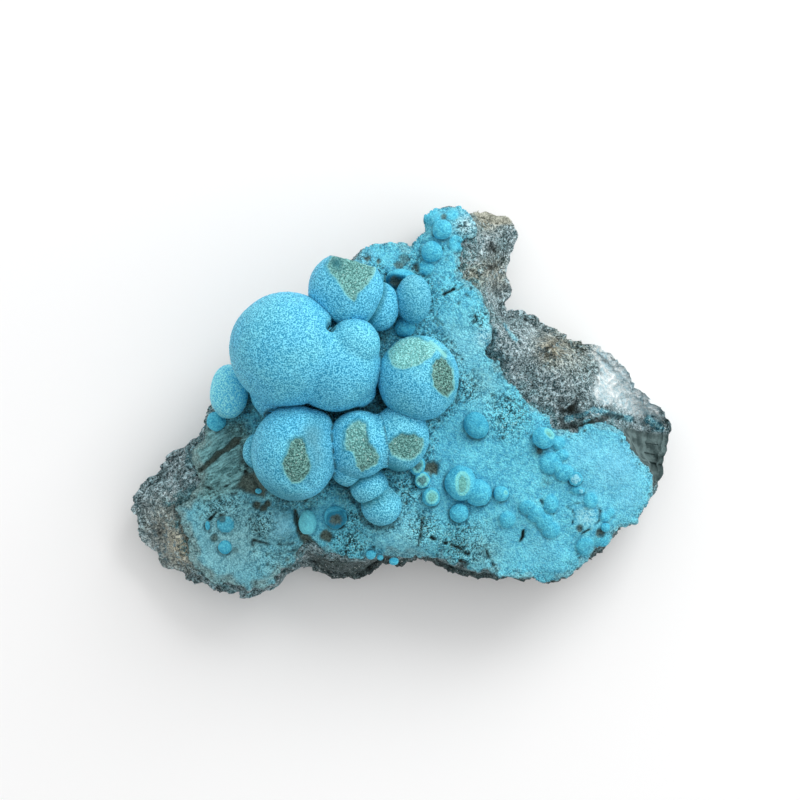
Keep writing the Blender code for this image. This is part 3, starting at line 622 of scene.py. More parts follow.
def strongest(plan, spots):
    """The strongest of some soft spots: place, radius and amount of each."""
    return np.max([amount * soft_spot(plan, x, y, radius) for x, y, radius, amount in spots], axis=0)


def dome(plan):
    across = plan - np.array(DOME_CENTRE)
    return DOME_TOP - (across * across) @ np.array(DOME_FALL)


class PlanMap:
    """Values worked out once over the plan, and read anywhere on it by interpolation."""

    step = 0.22

    def __init__(self, formula):
        xs = np.arange(PLAN_LOW[0], PLAN_HIGH[0] + self.step, self.step)
        ys = np.arange(PLAN_LOW[1], PLAN_HIGH[1] + self.step, self.step)
        grid_x, grid_y = np.meshgrid(xs, ys, indexing="ij")
        spots = np.column_stack((grid_x.ravel(), grid_y.ravel()))
        self.values = formula(spots).reshape(grid_x.shape)

    def __call__(self, plan):
        values = self.values
        place = (plan - np.array(PLAN_LOW)) / self.step
        corner = np.floor(place).astype(int)
        corner = np.clip(corner, 0, np.array(values.shape) - 2)
        part = np.clip(place - corner, 0.0, 1.0)
        i, j = corner.T
        u, v = part.T
        low = values[i, j] * (1 - u) + values[i + 1, j] * u
        high = values[i, j + 1] * (1 - u) + values[i + 1, j + 1] * u
        return low * (1 - v) + high * v

    def slope(self, plan):
        reach = np.array((self.step, 0.0))
        rise = np.array((0.0, self.step))
        along_x = self(plan + reach) - self(plan - reach)
        along_y = self(plan + rise) - self(plan - rise)
        return np.column_stack((along_x, along_y)) / (2.0 * self.step)


def crust_depth_formula(plan):
    """Distance inside the crust's edge, which is ragged at a small scale."""
    ragged = 0.75 * value_noise(plan, 3.0, 51) + 0.50 * value_noise(plan, 1.2, 52)
    return inside_distance(plan, CRUST_OUTLINE) + ragged


def rock_depth_formula(plan):
    """Distance inside the rock's edge, which is ragged at a small scale."""
    ragged = 0.55 * value_noise(plan, 3.0, 61) + 0.40 * value_noise(plan, 1.2, 62)
    return inside_distance(plan, ROCK_OUTLINE) + ragged + hills(plan, ROCK_GROWTH)


def ball_gap_formula(plan):
    """Rough distance in plan from the large balls, negative under them."""
    nearest = np.full(len(plan), np.inf)
    for ball in BALLS.values():
        for x, y, _, wide, deep in ball["lobes"]:
            apart = np.hypot((plan[:, 0] - x) / wide, (plan[:, 1] - y) / deep)
            nearest = np.minimum(nearest, (apart - 1.0) * min(wide, deep))
    return nearest


crust_depth = PlanMap(crust_depth_formula)
rock_depth = PlanMap(rock_depth_formula)
ball_gap = PlanMap(ball_gap_formula)


def seat(plan):
    return dome(plan) - CRUST_THICKNESS - 0.3


def crust_body_formula(plan):
    """The crust's upper surface without its fine relief."""
    depth = crust_depth(plan)
    gain = smooth_step(depth, 0.0, CRUST_ROUNDING)
    edge = CRUST_EDGE + CRUST_EDGE_UNEVEN * value_noise(plan, 5.0, 21)
    lumps = value_noise(plan, 8.0, 31) + 0.5 * value_noise(plan, 4.5, 32)
    rough = CRUST_ROUGHNESS * lumps * smooth_step(ball_gap(plan), 0.0, 4.0)
    surface = dome(plan) - CRUST_THICKNESS + edge + (CRUST_THICKNESS - edge) * gain
    return surface + gain * (hills(plan, CRUST_SWELLS) + rough)


crust_body = PlanMap(crust_body_formula)


def crust_marks_formula(plan):
    """How far each spot lies inside a crack of the crust, from 0 to 1."""
    waver = 0.35 * value_noise(plan, 1.3, 75) + 0.15 * value_noise(plan, 0.6, 77)
    marks = np.zeros(len(plan))
    broken = smooth_step(value_noise(plan, 1.6, 90), -0.7, 0.0)
    for points, width, depth in CRUST_CRACKS:
        away = line_distance(plan, points) + waver * min(1.0, 2.0 * width)
        marks = np.maximum(marks, depth * fade(away, 0.2 * width, 1.2 * width))
    return marks * broken


def speckle_formula(plan):
    """How pitted the crust is, from 0 to 1."""
    amount = np.maximum(strongest(plan, SPECKLED), 0.10)
    near_ball = fade(ball_gap(plan), 0.5, 4.0)
    edge = fade(crust_depth(plan), 0.5, 4.0)
    return np.clip(np.maximum(amount, np.maximum(0.6 * near_ball, 0.35 * edge)), 0.0, 1.0)


def gash_formula(plan):
    """Depth inside the wide gashes: 1 on their floor."""
    deepest = np.zeros(len(plan))
    waver = 0.30 * value_noise(plan, 1.5, 78) + 0.20 * value_noise(plan, 0.7, 97)
    for points, width in GASHES:
        start, end = np.array(points[0]), np.array(points[-1])
        along = (plan - start) @ (end - start) / ((end - start) @ (end - start))
        wide = width * np.sqrt(np.clip(4.0 * along * (1.0 - along), 0.04, 1.0))
        away = line_distance(plan, points) + waver
        deepest = np.maximum(deepest, fade(away, 0.70 * wide, 1.15 * wide))
    return deepest


def groove_formula(plan):
    """The groove round the foot of each small ball, from 0 to 1."""
    deepest = np.zeros(len(plan))
    for x, y, radius, _, stretch, kind in SMALL_BALLS:
        across, along = plan[:, 0] - x, (plan[:, 1] - y) / stretch
        apart = np.hypot(across, along) - radius
        shady = smooth_step(-(0.57 * across + 0.82 * along) / (apart + radius + 0.01), -0.4, 0.7)
        groove = np.exp(-((apart - 0.10) / 0.38) ** 2) * (0.2 + 0.8 * shady)
        deepest = np.maximum(deepest, groove * (0.5 if kind == "soft" else 1.0))
    return deepest


def soft_ball_formula(plan):
    """Height of the small balls that are only bumps of the crust, as a share of their own height."""
    tallest = np.zeros(len(plan))
    for x, y, radius, flat, stretch, kind in SMALL_BALLS:
        if kind == "soft":
            apart = np.hypot(plan[:, 0] - x, (plan[:, 1] - y) / stretch) / radius
            round_top = np.sqrt(np.clip(1.0 - apart * apart, 0.0, 1.0))
            tallest = np.maximum(tallest, flat * radius * round_top)
    return tallest


crust_marks = PlanMap(crust_marks_formula)
grooves = PlanMap(groove_formula)
soft_balls = PlanMap(soft_ball_formula)
speckles = PlanMap(speckle_formula)
gash = PlanMap(gash_formula)
banded = PlanMap(lambda plan: smooth_step(inside_distance(plan, BANDED), -1.5, 1.5))
brown_patch = PlanMap(lambda plan: smooth_step(inside_distance(plan, BROWN_PATCH), -0.6, 0.6))


def pores(plan):
    """Small deep pores in the pitted parts of the crust, from 0 to 1."""
    amount = np.clip(speckles(plan) - 0.18, 0.0, 1.0)
    wide = holes(plan, 1.10, 74, 0.65 * amount)
    return np.maximum(wide, holes(plan, 0.70, 79, 0.85 * amount))


pore_map = PlanMap(pores)


def crust_pits(plan):
    """For each pit of the crust: radius, depth, how brown, and each point's ragged distance from it."""
    ragged = rugged(plan, 1.4, 76, 2)
    for x, y, radius, depth, brown in CRUST_PITS:
        apart = np.hypot(plan[:, 0] - x, plan[:, 1] - y) + 0.40 * radius * ragged
        yield radius, depth, brown, apart


def crust_surface(plan):
    """The crust's upper surface with lumps, pores, cracks and pits."""
    surface = crust_body(plan)
    calm = 0.35 + 0.75 * speckles(plan)
    lumps = 0.36 * rugged(plan, 2.1, 71, 3) + 0.30 * value_noise(plan, 4.2, 73)
    bumps = soft_balls(plan)
    surface = surface + calm * lumps * (1.0 - 0.6 * np.minimum(bumps, 1.0)) - 0.60 * pore_map(plan) + bumps
    surface -= crust_marks(plan) + 0.45 * grooves(plan)
    layers = plan @ np.array(((0.45, 0.108), (-0.90, 0.054)))
    surface += 0.5 * banded(plan) * value_noise(layers, 0.55, 80)
    surface -= 1.2 * gash(plan) + 0.7 * brown_patch(plan)
    for radius, depth, _, apart in crust_pits(plan):
        surface -= 0.8 * depth * fade(apart, 0.6 * radius, 1.1 * radius)
    return surface


def rim_level(plan):
    return RIM_HEIGHT + RIM_UNEVEN * value_noise(plan, 15.0, 8)


def rock_surface(plan):
    """The rock's upper surface: level under the crust, broken and uneven outside it."""
    to_crust = -crust_depth(plan)
    to_rim = np.maximum(rock_depth(plan), 0.0)
    free = smooth_step(to_crust, 0.2, 2.5)
    uneven = ROCK_ROUGHNESS * value_noise(plan, 7.5, 3)
    uneven += 0.5 * ROCK_ROUGHNESS * value_noise(plan, 3.6, 4)
    bare = seat(plan) + 1.2 + hills(plan, ROCK_RELIEF) + uneven
    for (x, y, level), facing, fall in FRACTURES:
        along = (plan - np.array((x, y))) @ np.array(facing)
        ease = np.clip(0.25 * (np.hypot(plan[:, 0] - x, plan[:, 1] - y) - 18.0), 0.0, 6.0)
        bare = np.minimum(bare, level - fall * along + 0.4 * uneven + ease)
    surface = seat(plan) + free * (bare - seat(plan))
    strip = np.clip(to_rim + np.maximum(to_crust, 0.0), 0.5, SHOULDER)
    rise = smooth_step(to_rim, 0.0, strip)
    lowered = rim_level(plan) + rise * (surface - rim_level(plan))
    return np.where(to_crust > 0.0, lowered, seat(plan))


def shaded_face(plan):
    """1 on the smooth broken face at the rock's right end, which is painted dark as painted shade."""
    return smooth_step(inside_distance(plan, SHADED_FACE), -0.8, 0.8)


def rock_relief(points):
    """Fine broken relief of the rock: chips, grains, pits and the thin blue ridges."""
    plan = points[:, :2]
    chips = grains(points, 3.4, 81)
    crystals = grains(points, 1.0, 85)
    pits = smooth_step(value_noise(points, 1.7, 89), 0.40, 0.75)
    fine = 0.4 * crystals + 0.28 * rugged(points, 1.3, 91, 3) - 0.6 * pits
    relief = (0.8 * chips + fine) * (1.0 - 0.95 * shaded_face(plan))
    for line, width, height in BLUE_RIDGES:
        away = line_distance(plan, line) + 0.25 * value_noise(points, 1.2, 94)
        relief += height * fade(away, 0.3 * width, 1.3 * width)
    return relief


def lobes_distance(points, ball):
    """Rough distance to a ball's lobes, smoothly run together, negative inside."""
    total = None
    for x, y, z, wide, deep in ball["lobes"]:
        radii = np.array((wide, deep, 0.5 * (wide + deep)))
        scaled = (points - np.array((x, y, z))) / radii
        length = np.linalg.norm(scaled, axis=1) + 1e-9
        slope = np.linalg.norm(scaled / radii, axis=1) + 1e-9
        lobe = length * (length - 1.0) / slope
        if total is None:
            total = lobe
            continue
        total = soft_union(total, lobe, ball["blend"])
    return total


def neighbour_distance(points, name):
    """Distance to the named ball, and how much farther off the nearest other ball is.

    A ball that stands forward keeps more of the space where two of them meet.
    """
    own = lobes_distance(points, BALLS[name])
    spare = np.full(len(points), np.inf)
    for other_name, other in BALLS.items():
        if other_name != name:
            ahead = FORWARD.get(name, 0.0) - FORWARD.get(other_name, 0.0)
            spare = np.minimum(spare, lobes_distance(points, other) - own + ahead)
    return own, spare


def soft_union(first, second, width):
    mix = np.clip(0.5 + 0.5 * (first - second) / width, 0.0, 1.0)
    return first + mix * (second - first) - width * mix * (1.0 - mix)


def outside_ball(points, name):
    own, spare = neighbour_distance(points, name)
    for first, second, width in JOINED:
        if name in (first, second):
            partner = second if name == first else first
            own = soft_union(own, lobes_distance(points, BALLS[partner]), width)
    result = np.maximum(own, SEAM - spare)
    plan = points[:, :2]
    beyond = np.maximum(-crust_depth(plan) - BASE_OVERHANG, 0.0)
    floor = crust_body(plan) - 1.5 * beyond - 0.2
    return np.maximum(result, floor - points[:, 2])


def face_distance(aims, ball, facing, apart):
    """How far from the ball's heart each aim meets a flat face."""
    normal = np.array(facing) / np.linalg.norm(facing)
    middle = np.array(ball["lobes"][0][:3])
    towards = np.maximum(aims @ normal, 1e-3)
    return (apart - (np.array(ball["heart"]) - middle) @ normal) / towards


# ---------------------------------------------------------------- meshes


def sphere_cells(cells):
    """Directions and quads of a sphere made from a cube of cells x cells squares a side."""
    ramp = np.tan(np.linspace(-0.25, 0.25, cells + 1) * math.pi)
    u, v = np.meshgrid(ramp, ramp, indexing="ij")
    u, v = u.ravel(), v.ravel()
    one = np.ones_like(u)
    sides = (
        (one, u, v), (-one, v, u), (v, one, u), (u, -one, v), (u, v, one), (v, u, -one),
    )
    points = np.concatenate([np.column_stack(side) for side in sides])
    count = (cells + 1) ** 2
    i, j = np.meshgrid(np.arange(cells), np.arange(cells), indexing="ij")
    corner = (i * (cells + 1) + j).ravel()
    quad = np.column_stack((corner, corner + cells + 1, corner + cells + 2, corner + 1))
    quads = np.concatenate([quad + count * side for side in range(6)])
    keys = np.round(points * 1e6).astype(np.int64)
    _, first, back = np.unique(keys, axis=0, return_index=True, return_inverse=True)
    points = points[first]
    points /= np.linalg.norm(points, axis=1)[:, None]
    return points, back.ravel()[quads]


def capped(points, quads, masks):
    """A sheet with its open edge closed by triangles; quads become triangles as well."""
    loop = edge_loop(quads)
    corners, edges = np.unique(loop, return_inverse=True)
    edges = edges.reshape(-1, 2)
    plan = [Vector(spot) for spot in points[corners, :2]]
    made = delaunay_2d_cdt(plan, edges.tolist(), [], 1, 1e-7)
    source = np.array([group[0] if group else -1 for group in made[3]])
    caps = np.array([face for face in made[2] if len(face) == 3])
    caps = caps[(source[caps] >= 0).all(axis=1)]
    caps = corners[source[caps]]
    halves = np.concatenate((quads[:, (0, 1, 2)], quads[:, (0, 2, 3)]))
    return points, np.concatenate((halves, caps)), masks


def mesh_piece(name, points, quads, masks, material):
    """An object from points in millimetres, quads or triangles and named masks."""
    mesh = bpy.data.meshes.new(name)
    sides = quads.shape[1]
    mesh.vertices.add(len(points))
    mesh.vertices.foreach_set("co", (points * MM).astype(np.float32).ravel())
    mesh.loops.add(quads.size)
    mesh.loops.foreach_set("vertex_index", quads.astype(np.int32).ravel())
    mesh.polygons.add(len(quads))
    mesh.polygons.foreach_set("loop_start", np.arange(0, quads.size, sides, dtype=np.int32))
    for mask, values in masks.items():
        layer = mesh.attributes.new(mask, "FLOAT", "POINT")
        layer.data.foreach_set("value", values.astype(np.float32))
    mesh.update(calc_edges=True)
    mesh.validate()
    work = bmesh.new()
    work.from_mesh(mesh)
    bmesh.ops.recalc_face_normals(work, faces=work.faces)
    work.to_mesh(mesh)
    work.free()
    mesh.shade_smooth()
    mesh.materials.append(material)
    made = bpy.data.objects.new(name, mesh)
    bpy.context.scene.collection.objects.link(made)
    return made


def joined_arrays(parts):
    """Points, quads and masks of several meshes as one."""
    points = np.concatenate([part[0] for part in parts])
    starts = np.cumsum([0] + [len(part[0]) for part in parts[:-1]])
    quads = np.concatenate([part[1] + start for part, start in zip(parts, starts)])
    masks = {}
    for mask in parts[0][2]:
        masks[mask] = np.concatenate([part[2][mask] for part in parts])
    return points, quads, masks


def main_island(mask):
    """The part of a grid of cells that hangs together with its middle."""
    island = np.zeros_like(mask)
    island[mask.shape[0] // 2, mask.shape[1] // 2] = True
    size = 0
    while island.sum() > size:
        size = island.sum()
        grown = island.copy()
        grown[1:] |= island[:-1]
        grown[:-1] |= island[1:]
        grown[:, 1:] |= island[:, :-1]
        grown[:, :-1] |= island[:, 1:]
        island = grown & mask
    return island


def plan_sheet(depth, inset, step):
    """Plan points and quads over the area deeper than an inset, with its edge points on the edge."""
    xs = np.arange(PLAN_LOW[0], PLAN_HIGH[0], step)
    ys = np.arange(PLAN_LOW[1], PLAN_HIGH[1], step)
    grid_x, grid_y = np.meshgrid(xs, ys, indexing="ij")
    plan = np.column_stack((grid_x.ravel(), grid_y.ravel()))
    value = depth(plan) - inset
    near = np.abs(value) < 0.55 * step
    for _ in range(3):
        slope = depth.slope(plan[near])
        size = np.maximum((slope * slope).sum(axis=1), 0.2)
        off = (depth(plan[near]) - inset) / size
        plan[near] -= np.clip(off, -0.4 * step, 0.4 * step)[:, None] * slope
    inside = (value > -0.55 * step).reshape(grid_x.shape)
    cells = inside[:-1, :-1] & inside[1:, :-1] & inside[1:, 1:] & inside[:-1, 1:]
    cells = main_island(cells)
    columns = len(ys)
    i, j = np.nonzero(cells)
    corner = i * columns + j
    quads = np.column_stack((corner, corner + columns, corner + columns + 1, corner + 1))
    used, quads = np.unique(quads, return_inverse=True)
    return plan[used], quads.reshape(-1, 4)


def edge_loop(quads):
    """The directed edges round the outside of a sheet of quads."""
    edges = np.concatenate([quads[:, (k, (k + 1) % 4)] for k in range(4)])
    keys = np.sort(edges, axis=1)
    keys = keys[:, 0] * (quads.max() + 1) + keys[:, 1]
    _, index, count = np.unique(keys, return_index=True, return_counts=True)
    return edges[index[count == 1]]


def add_rings(points, quads, rings):
    """Adds a wall to a sheet: each ring gives the places that its edge points move to."""
    loop = edge_loop(quads)
    corners = np.unique(loop)
    numbers = np.zeros(len(points), dtype=int)
    numbers[corners] = np.arange(len(corners))
    upper = corners
    walls = [quads]
    places = [points]
    total = len(points)
    for ring in rings:
        lower = total + np.arange(len(corners))
        total += len(corners)
        places.append(ring)
        first, second = numbers[loop[:, 0]], numbers[loop[:, 1]]
        walls.append(np.column_stack((upper[second], upper[first], lower[first], lower[second])))
        upper = lower
    return np.concatenate(places), np.concatenate(walls)


# ---------------------------------------------------------------- materials


class Shading:
    """A node material built up line by line."""

    def __init__(self, name, roughness, specular=0.5):
        self.material = bpy.data.materials.new(name)
        self.material.use_nodes = True
        self.tree = self.material.node_tree
        self.shader = self.tree.nodes["Principled BSDF"]
        self.shader.inputs["Roughness"].default_value = roughness
        self.shader.inputs["Specular IOR Level"].default_value = specular
        self.place = self.node("ShaderNodeTexCoord").outputs["Object"]

    def node(self, kind, **settings):
        made = self.tree.nodes.new(kind)
        for key, value in settings.items():
            setattr(made, key, value)
        return made

    def feed(self, socket, value):
        if isinstance(value, bpy.types.NodeSocket):
            self.tree.links.new(value, socket)
        else:
            socket.default_value = value

    def mask(self, name):
        return self.node("ShaderNodeAttribute", attribute_name=name).outputs["Fac"]

    def noise(self, size_mm, detail=2.0, rough=0.5, place=None):
        made = self.node("ShaderNodeTexNoise")
        self.feed(made.inputs["Vector"], self.place if place is None else place)
        made.inputs["Scale"].default_value = 1.0 / (size_mm * MM)
        made.inputs["Detail"].default_value = detail
        made.inputs["Roughness"].default_value = rough
        return made.outputs["Fac"]

    def patches(self, size_mm, detail, rough, low, high):
        """Noise with its values from low to high spread over 0 to 1."""
        return self.ramp(self.noise(size_mm, detail, rough), low, high)

    def cells(self, size_mm, output):
        made = self.node("ShaderNodeTexVoronoi")
        self.feed(made.inputs["Vector"], self.place)
        made.inputs["Scale"].default_value = 1.0 / (size_mm * MM)
        return made.outputs[output]

    def ramp(self, value, low, high, bottom=0.0, top=1.0):
        made = self.node("ShaderNodeMapRange", interpolation_type="SMOOTHSTEP")
        self.feed(made.inputs["Value"], value)
        made.inputs["From Min"].default_value = low
        made.inputs["From Max"].default_value = high
        made.inputs["To Min"].default_value = bottom
        made.inputs["To Max"].default_value = top
        return made.outputs["Result"]

    def math(self, operation, first, second=0.0):
        made = self.node("ShaderNodeMath", operation=operation)
        self.feed(made.inputs[0], first)
        self.feed(made.inputs[1], second)
        return made.outputs[0]

    def times(self, first, second):
        return self.math("MULTIPLY", first, second)

    def weighted(self, *shares):
        total = 0.0
        for value, share in shares:
            total = self.math("ADD", self.times(value, share), total)
        return total

    def mix(self, amount, first, second, blend="MIX"):
        made = self.node("ShaderNodeMix", data_type="RGBA", blend_type=blend)
        self.feed(made.inputs[0], amount)
        self.feed(made.inputs[6], first)
        self.feed(made.inputs[7], second)
        return made.outputs[2]

    def paint(self, colour, amount, shade, light=None, by=None):
        """Lays a colour, or two mixed by a value, over another, as much as a mask or value says."""
        if isinstance(amount, str):
            amount = self.mask(amount)
        top = srgb(*shade)
        if light is not None:
            top = self.mix(by, top, srgb(*light))
        return self.mix(amount, colour, top)

    def finish(self, colour, height, bump_mm, strength):
        self.feed(self.shader.inputs["Base Color"], colour)
        bump = self.node("ShaderNodeBump")
        bump.inputs["Strength"].default_value = strength
        bump.inputs["Distance"].default_value = bump_mm * MM
        self.feed(bump.inputs["Height"], height)
        self.feed(self.shader.inputs["Normal"], bump.outputs["Normal"])
        return self.material


def srgb(red, green, blue):
    """A colour given as seen, 0 to 255, as Blender's linear values."""
    values = []
    for level in (red, green, blue):
        level = level / 255.0
        values.append(level / 12.92 if level <= 0.04045 else ((level + 0.055) / 1.055) ** 2.4)
    return (*values, 1.0)


def ball_material():
    shading = Shading("chrysocolla_ball", 0.55, 0.2)
    net = shading.patches(0.36, 1.0, 0.5, 0.34, 0.66)
    broad = shading.patches(9.0, 2.0, 0.5, 0.35, 0.65)
    deep = shading.mix(broad, srgb(36, 142, 182), srgb(46, 148, 182))
    light = shading.mix(broad, srgb(122, 222, 252), srgb(130, 226, 248))
    colour = shading.mix(net, deep, light)
    colour = shading.paint(colour, "worn", (60, 136, 158), (104, 178, 200), net)
    # Painted light: the left ball is made paler all over.
    colour = shading.paint(colour, "pale", (72, 190, 230), (160, 248, 255), net)
    # Painted shade where a ball meets its neighbours and the crust, and in the great ball's dimple.
    contact_shade = shading.times(shading.patches(1.2, 3.0, 0.5, 0.38, 0.56), shading.mask("seam"))
    colour = shading.paint(colour, contact_shade, (40, 66, 64))
    grain = shading.patches(0.40, 2.0, 0.6, 0.36, 0.64)
    dark_druse = shading.mix(grain, srgb(26, 62, 54), srgb(122, 176, 166))
    pale_druse = shading.mix(grain, srgb(84, 158, 156), srgb(158, 236, 236))
    druse = shading.mix(shading.mask("tone"), dark_druse, pale_druse)
    # Painted glints on the druse of the windows.
    painted_glints = shading.patches(0.42, 1.0, 0.5, 0.68, 0.74)
    druse = shading.paint(druse, shading.times(painted_glints, 0.7), (226, 250, 246))
    colour = shading.mix(shading.mask("bare"), colour, druse)
    # Painted shade in the creases between lobes, on each ball's low side, round the windows and in the top
    # ball's hollow; the drop ball also takes it evenly as its darker tone.
    colour = shading.paint(colour, "painted_shade_and_tone", (34, 112, 124))
    # The pale rim of each window, lighter towards the light as a painted highlight, and the pale bridge
    # between the right ball's windows.
    colour = shading.paint(colour, "pale_rim_and_highlight", (142, 216, 206))
    height = shading.node("ShaderNodeMix", data_type="FLOAT")
    shading.feed(height.inputs[0], shading.mask("bare"))
    shading.feed(height.inputs[2], shading.math("ADD", net, shading.noise(0.3, 1.0)))
    shading.feed(height.inputs[3], shading.times(grain, 2.0))
    return shading.finish(colour, height.outputs[0], 0.08, 0.8)


def crust_material():
    shading = Shading("chrysocolla_crust", 0.7, 0.2)
    beads = shading.ramp(shading.cells(0.56, "Distance"), 0.15, 0.70, 1.0, 0.0)
    grain = shading.patches(0.34, 2.0, 0.6, 0.32, 0.68)
    swirl = shading.patches(1.5, 4.0, 0.65, 0.36, 0.64)
    fine = shading.weighted((grain, 0.42), (beads, 0.30), (swirl, 0.28))
    broad = shading.patches(5.0, 4.0, 0.6, 0.35, 0.65)
    colour = shading.mix(fine, srgb(62, 166, 210), srgb(138, 245, 255))
    colour = shading.paint(colour, "even", (98, 190, 224), (144, 234, 255), fine)
    colour = shading.paint(colour, "greyed", (90, 152, 162), (192, 250, 255), fine)
    gaps = shading.times(shading.ramp(fine, 0.24, 0.50, 1.0, 0.0), shading.mask("rough"))
    colour = shading.paint(colour, gaps, (18, 70, 76))
    tint = shading.mix(broad, srgb(232, 240, 244), srgb(255, 255, 255))
    colour = shading.mix(1.0, colour, tint, "MULTIPLY")
    lay = shading.node("ShaderNodeMapping", vector_type="TEXTURE")
    shading.feed(lay.inputs["Vector"], shading.place)
    lay.inputs["Rotation"].default_value = (0.0, 0.0, 0.5)
    lay.inputs["Scale"].default_value = (4.0, 1.0, 1.0)
    streaks = shading.ramp(shading.noise(0.8, 4.0, 0.65, lay.outputs["Vector"]), 0.36, 0.64)
    streaks = shading.weighted((streaks, 0.6), (fine, 0.4))
    band = shading.times(shading.mask("banded"), 0.92)
    colour = shading.paint(colour, band, (24, 56, 50), (160, 226, 230), streaks)
    stone = shading.times(shading.mask("stone"), 0.8)
    colour = shading.paint(colour, stone, (36, 62, 58), (184, 222, 222), fine)
    pale = shading.times(shading.mask("pale"), shading.ramp(fine, 0.2, 0.6))
    colour = shading.paint(colour, pale, (206, 238, 244))
    # Dark stains, and painted shadow beside and under the large balls.
    stain_and_shadow_patches = shading.times(shading.mask("stain_and_shadow"), shading.patches(1.1, 4.0, 0.7, 0.32, 0.58))
    colour = shading.paint(colour, stain_and_shadow_patches, (16, 34, 30), (66, 104, 102), fine)
    specks = shading.patches(0.60, 3.0, 0.7, 0.56, 0.63)
    specks = shading.times(specks, shading.times(shading.mask("rough"), 0.85))
    specks = shading.math("MAXIMUM", specks, shading.times(shading.mask("speckle"), 0.85))
    colour = shading.paint(colour, specks, (22, 54, 54), (46, 50, 40), broad)
    # Painted highlights: bright specks, most of them on the rough crust.
    bright = shading.patches(0.5, 1.0, 0.5, 0.60, 0.70)
    painted_glints = shading.weighted((shading.mask("rough"), 0.6), (1.0, 0.12))
    colour = shading.paint(colour, shading.times(bright, painted_glints), (176, 250, 255))
    # Darkened cracks and gash walls, painted shade round the small balls' feet, painted shadow beside the
    # large balls, and the dark ring and shaded inside of broken small balls.
    colour = shading.paint(colour, "crevice_dark_and_shadow", (26, 40, 36))
    brown = shading.mix(fine, srgb(40, 56, 50), srgb(116, 138, 130))
    colour = shading.mix(shading.mask("brown"), colour, brown)
    colour = shading.paint(colour, "ball", (42, 158, 200), (114, 234, 255), fine)
    # Darker blue: the lens ball's own tone, round the holed ball's hole, and painted shade in the cup on
    # the side away from the light.
    colour = shading.paint(colour, "deep", (24, 118, 150))
    colour = shading.paint(colour, "white", (140, 232, 226))
    colour = shading.paint(colour, "green", (84, 158, 154), (138, 220, 212), fine)
    inner = shading.times(shading.mask("ball"), shading.mask("brown"))
    colour = shading.mix(inner, colour, brown)
    height = shading.math("ADD", fine, shading.noise(0.9, 3.0))
    return shading.finish(colour, height, 0.28, 1.0)


def rock_material():
    shading = Shading("host_rock", 0.8, 0.2)
    shard = shading.ramp(shading.cells(0.72, "Color"), 0.15, 0.85)
    lump = shading.patches(1.0, 4.0, 0.65, 0.36, 0.62)
    fine = shading.patches(0.34, 2.0, 0.6, 0.36, 0.64)
    fine = shading.math("ADD", shading.times(fine, 0.45), shading.times(shard, 0.25))
    fine = shading.ramp(shading.math("ADD", fine, shading.times(lump, 0.30)), 0.21, 0.79)
    patch = shading.patches(6.0, 4.0, 0.6, 0.35, 0.65)
    grey_dark = shading.mix(patch, srgb(36, 56, 54), srgb(70, 104, 110))
    grey_light = shading.mix(patch, srgb(174, 212, 220), srgb(222, 248, 255))
    colour = shading.mix(fine, grey_dark, grey_light)
    clouds = shading.weighted((shading.patches(1.6, 4.0, 0.65, 0.34, 0.62), 0.6), (fine, 0.4))
    colour = shading.paint(colour, "quartz", (172, 212, 224), (248, 255, 255), clouds)
    film = shading.times(shading.mask("blue"), shading.patches(2.2, 3.0, 0.6, 0.40, 0.56))
    colour = shading.paint(colour, film, (58, 108, 116), (140, 206, 218), fine)
    colour = shading.paint(colour, "ridge", (62, 150, 180), (176, 244, 255), fine)
    rust = shading.times(shading.mask("rust"), shading.patches(1.6, 4.0, 0.7, 0.36, 0.52))
    colour = shading.paint(colour, rust, (96, 100, 84), (236, 232, 206), fine)
    colour = shading.paint(colour, "tan", (132, 136, 124), (194, 196, 182), fine)
    murk = shading.patches(1.4, 4.0, 0.65, 0.35, 0.65)
    # Painted shade on the broken face at the right end and under the crust's lower lip.
    dark = shading.times(shading.mask("dark"), 0.9)
    colour = shading.paint(colour, dark, (28, 40, 38), (70, 88, 80), murk)
    smooth = shading.patches(2.6, 3.0, 0.5, 0.35, 0.65)
    # The broken face at the right end is smooth, and darker as painted shade.
    colour = shading.paint(colour, "face", (70, 88, 88), (118, 140, 140), smooth)
    plain = shading.math("MAXIMUM", shading.mask("face"), shading.times(shading.mask("quartz"), 0.7))
    plain = shading.math("MAXIMUM", plain, shading.mask("tan"))
    spots = shading.math("SUBTRACT", 1.0, plain)
    pits = shading.patches(0.9, 4.0, 0.7, 0.59, 0.65)
    colour = shading.paint(colour, shading.times(pits, shading.times(spots, 0.85)), (26, 34, 32))
    specks = shading.patches(0.55, 1.0, 0.5, 0.66, 0.72)
    colour = shading.paint(colour, shading.times(specks, shading.times(spots, 0.8)), (240, 250, 250))
    # Darkened crevices along the crust's edge and the seam, and darkened pits.
    colour = shading.paint(colour, "crevice_dark_and_shadow", (34, 42, 38))
    calm = shading.math("SUBTRACT", 1.0, shading.times(plain, 0.8))
    height = shading.times(shading.math("ADD", fine, lump), calm)
    return shading.finish(colour, height, 0.34, 1.0)


# ---------------------------------------------------------------- the pieces


def place(piece, node, slot_name):
    """Sets a piece on the one body, over its CAD node."""
    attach(piece, "root")
    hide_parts(node)


def empty_masks(count, names):
    return {name: np.zeros(count) for name in names}


def add_mask(masks, name, amount):
    """Raises a mask to the amount where that is higher."""
    masks[name] = np.maximum(masks[name], amount)


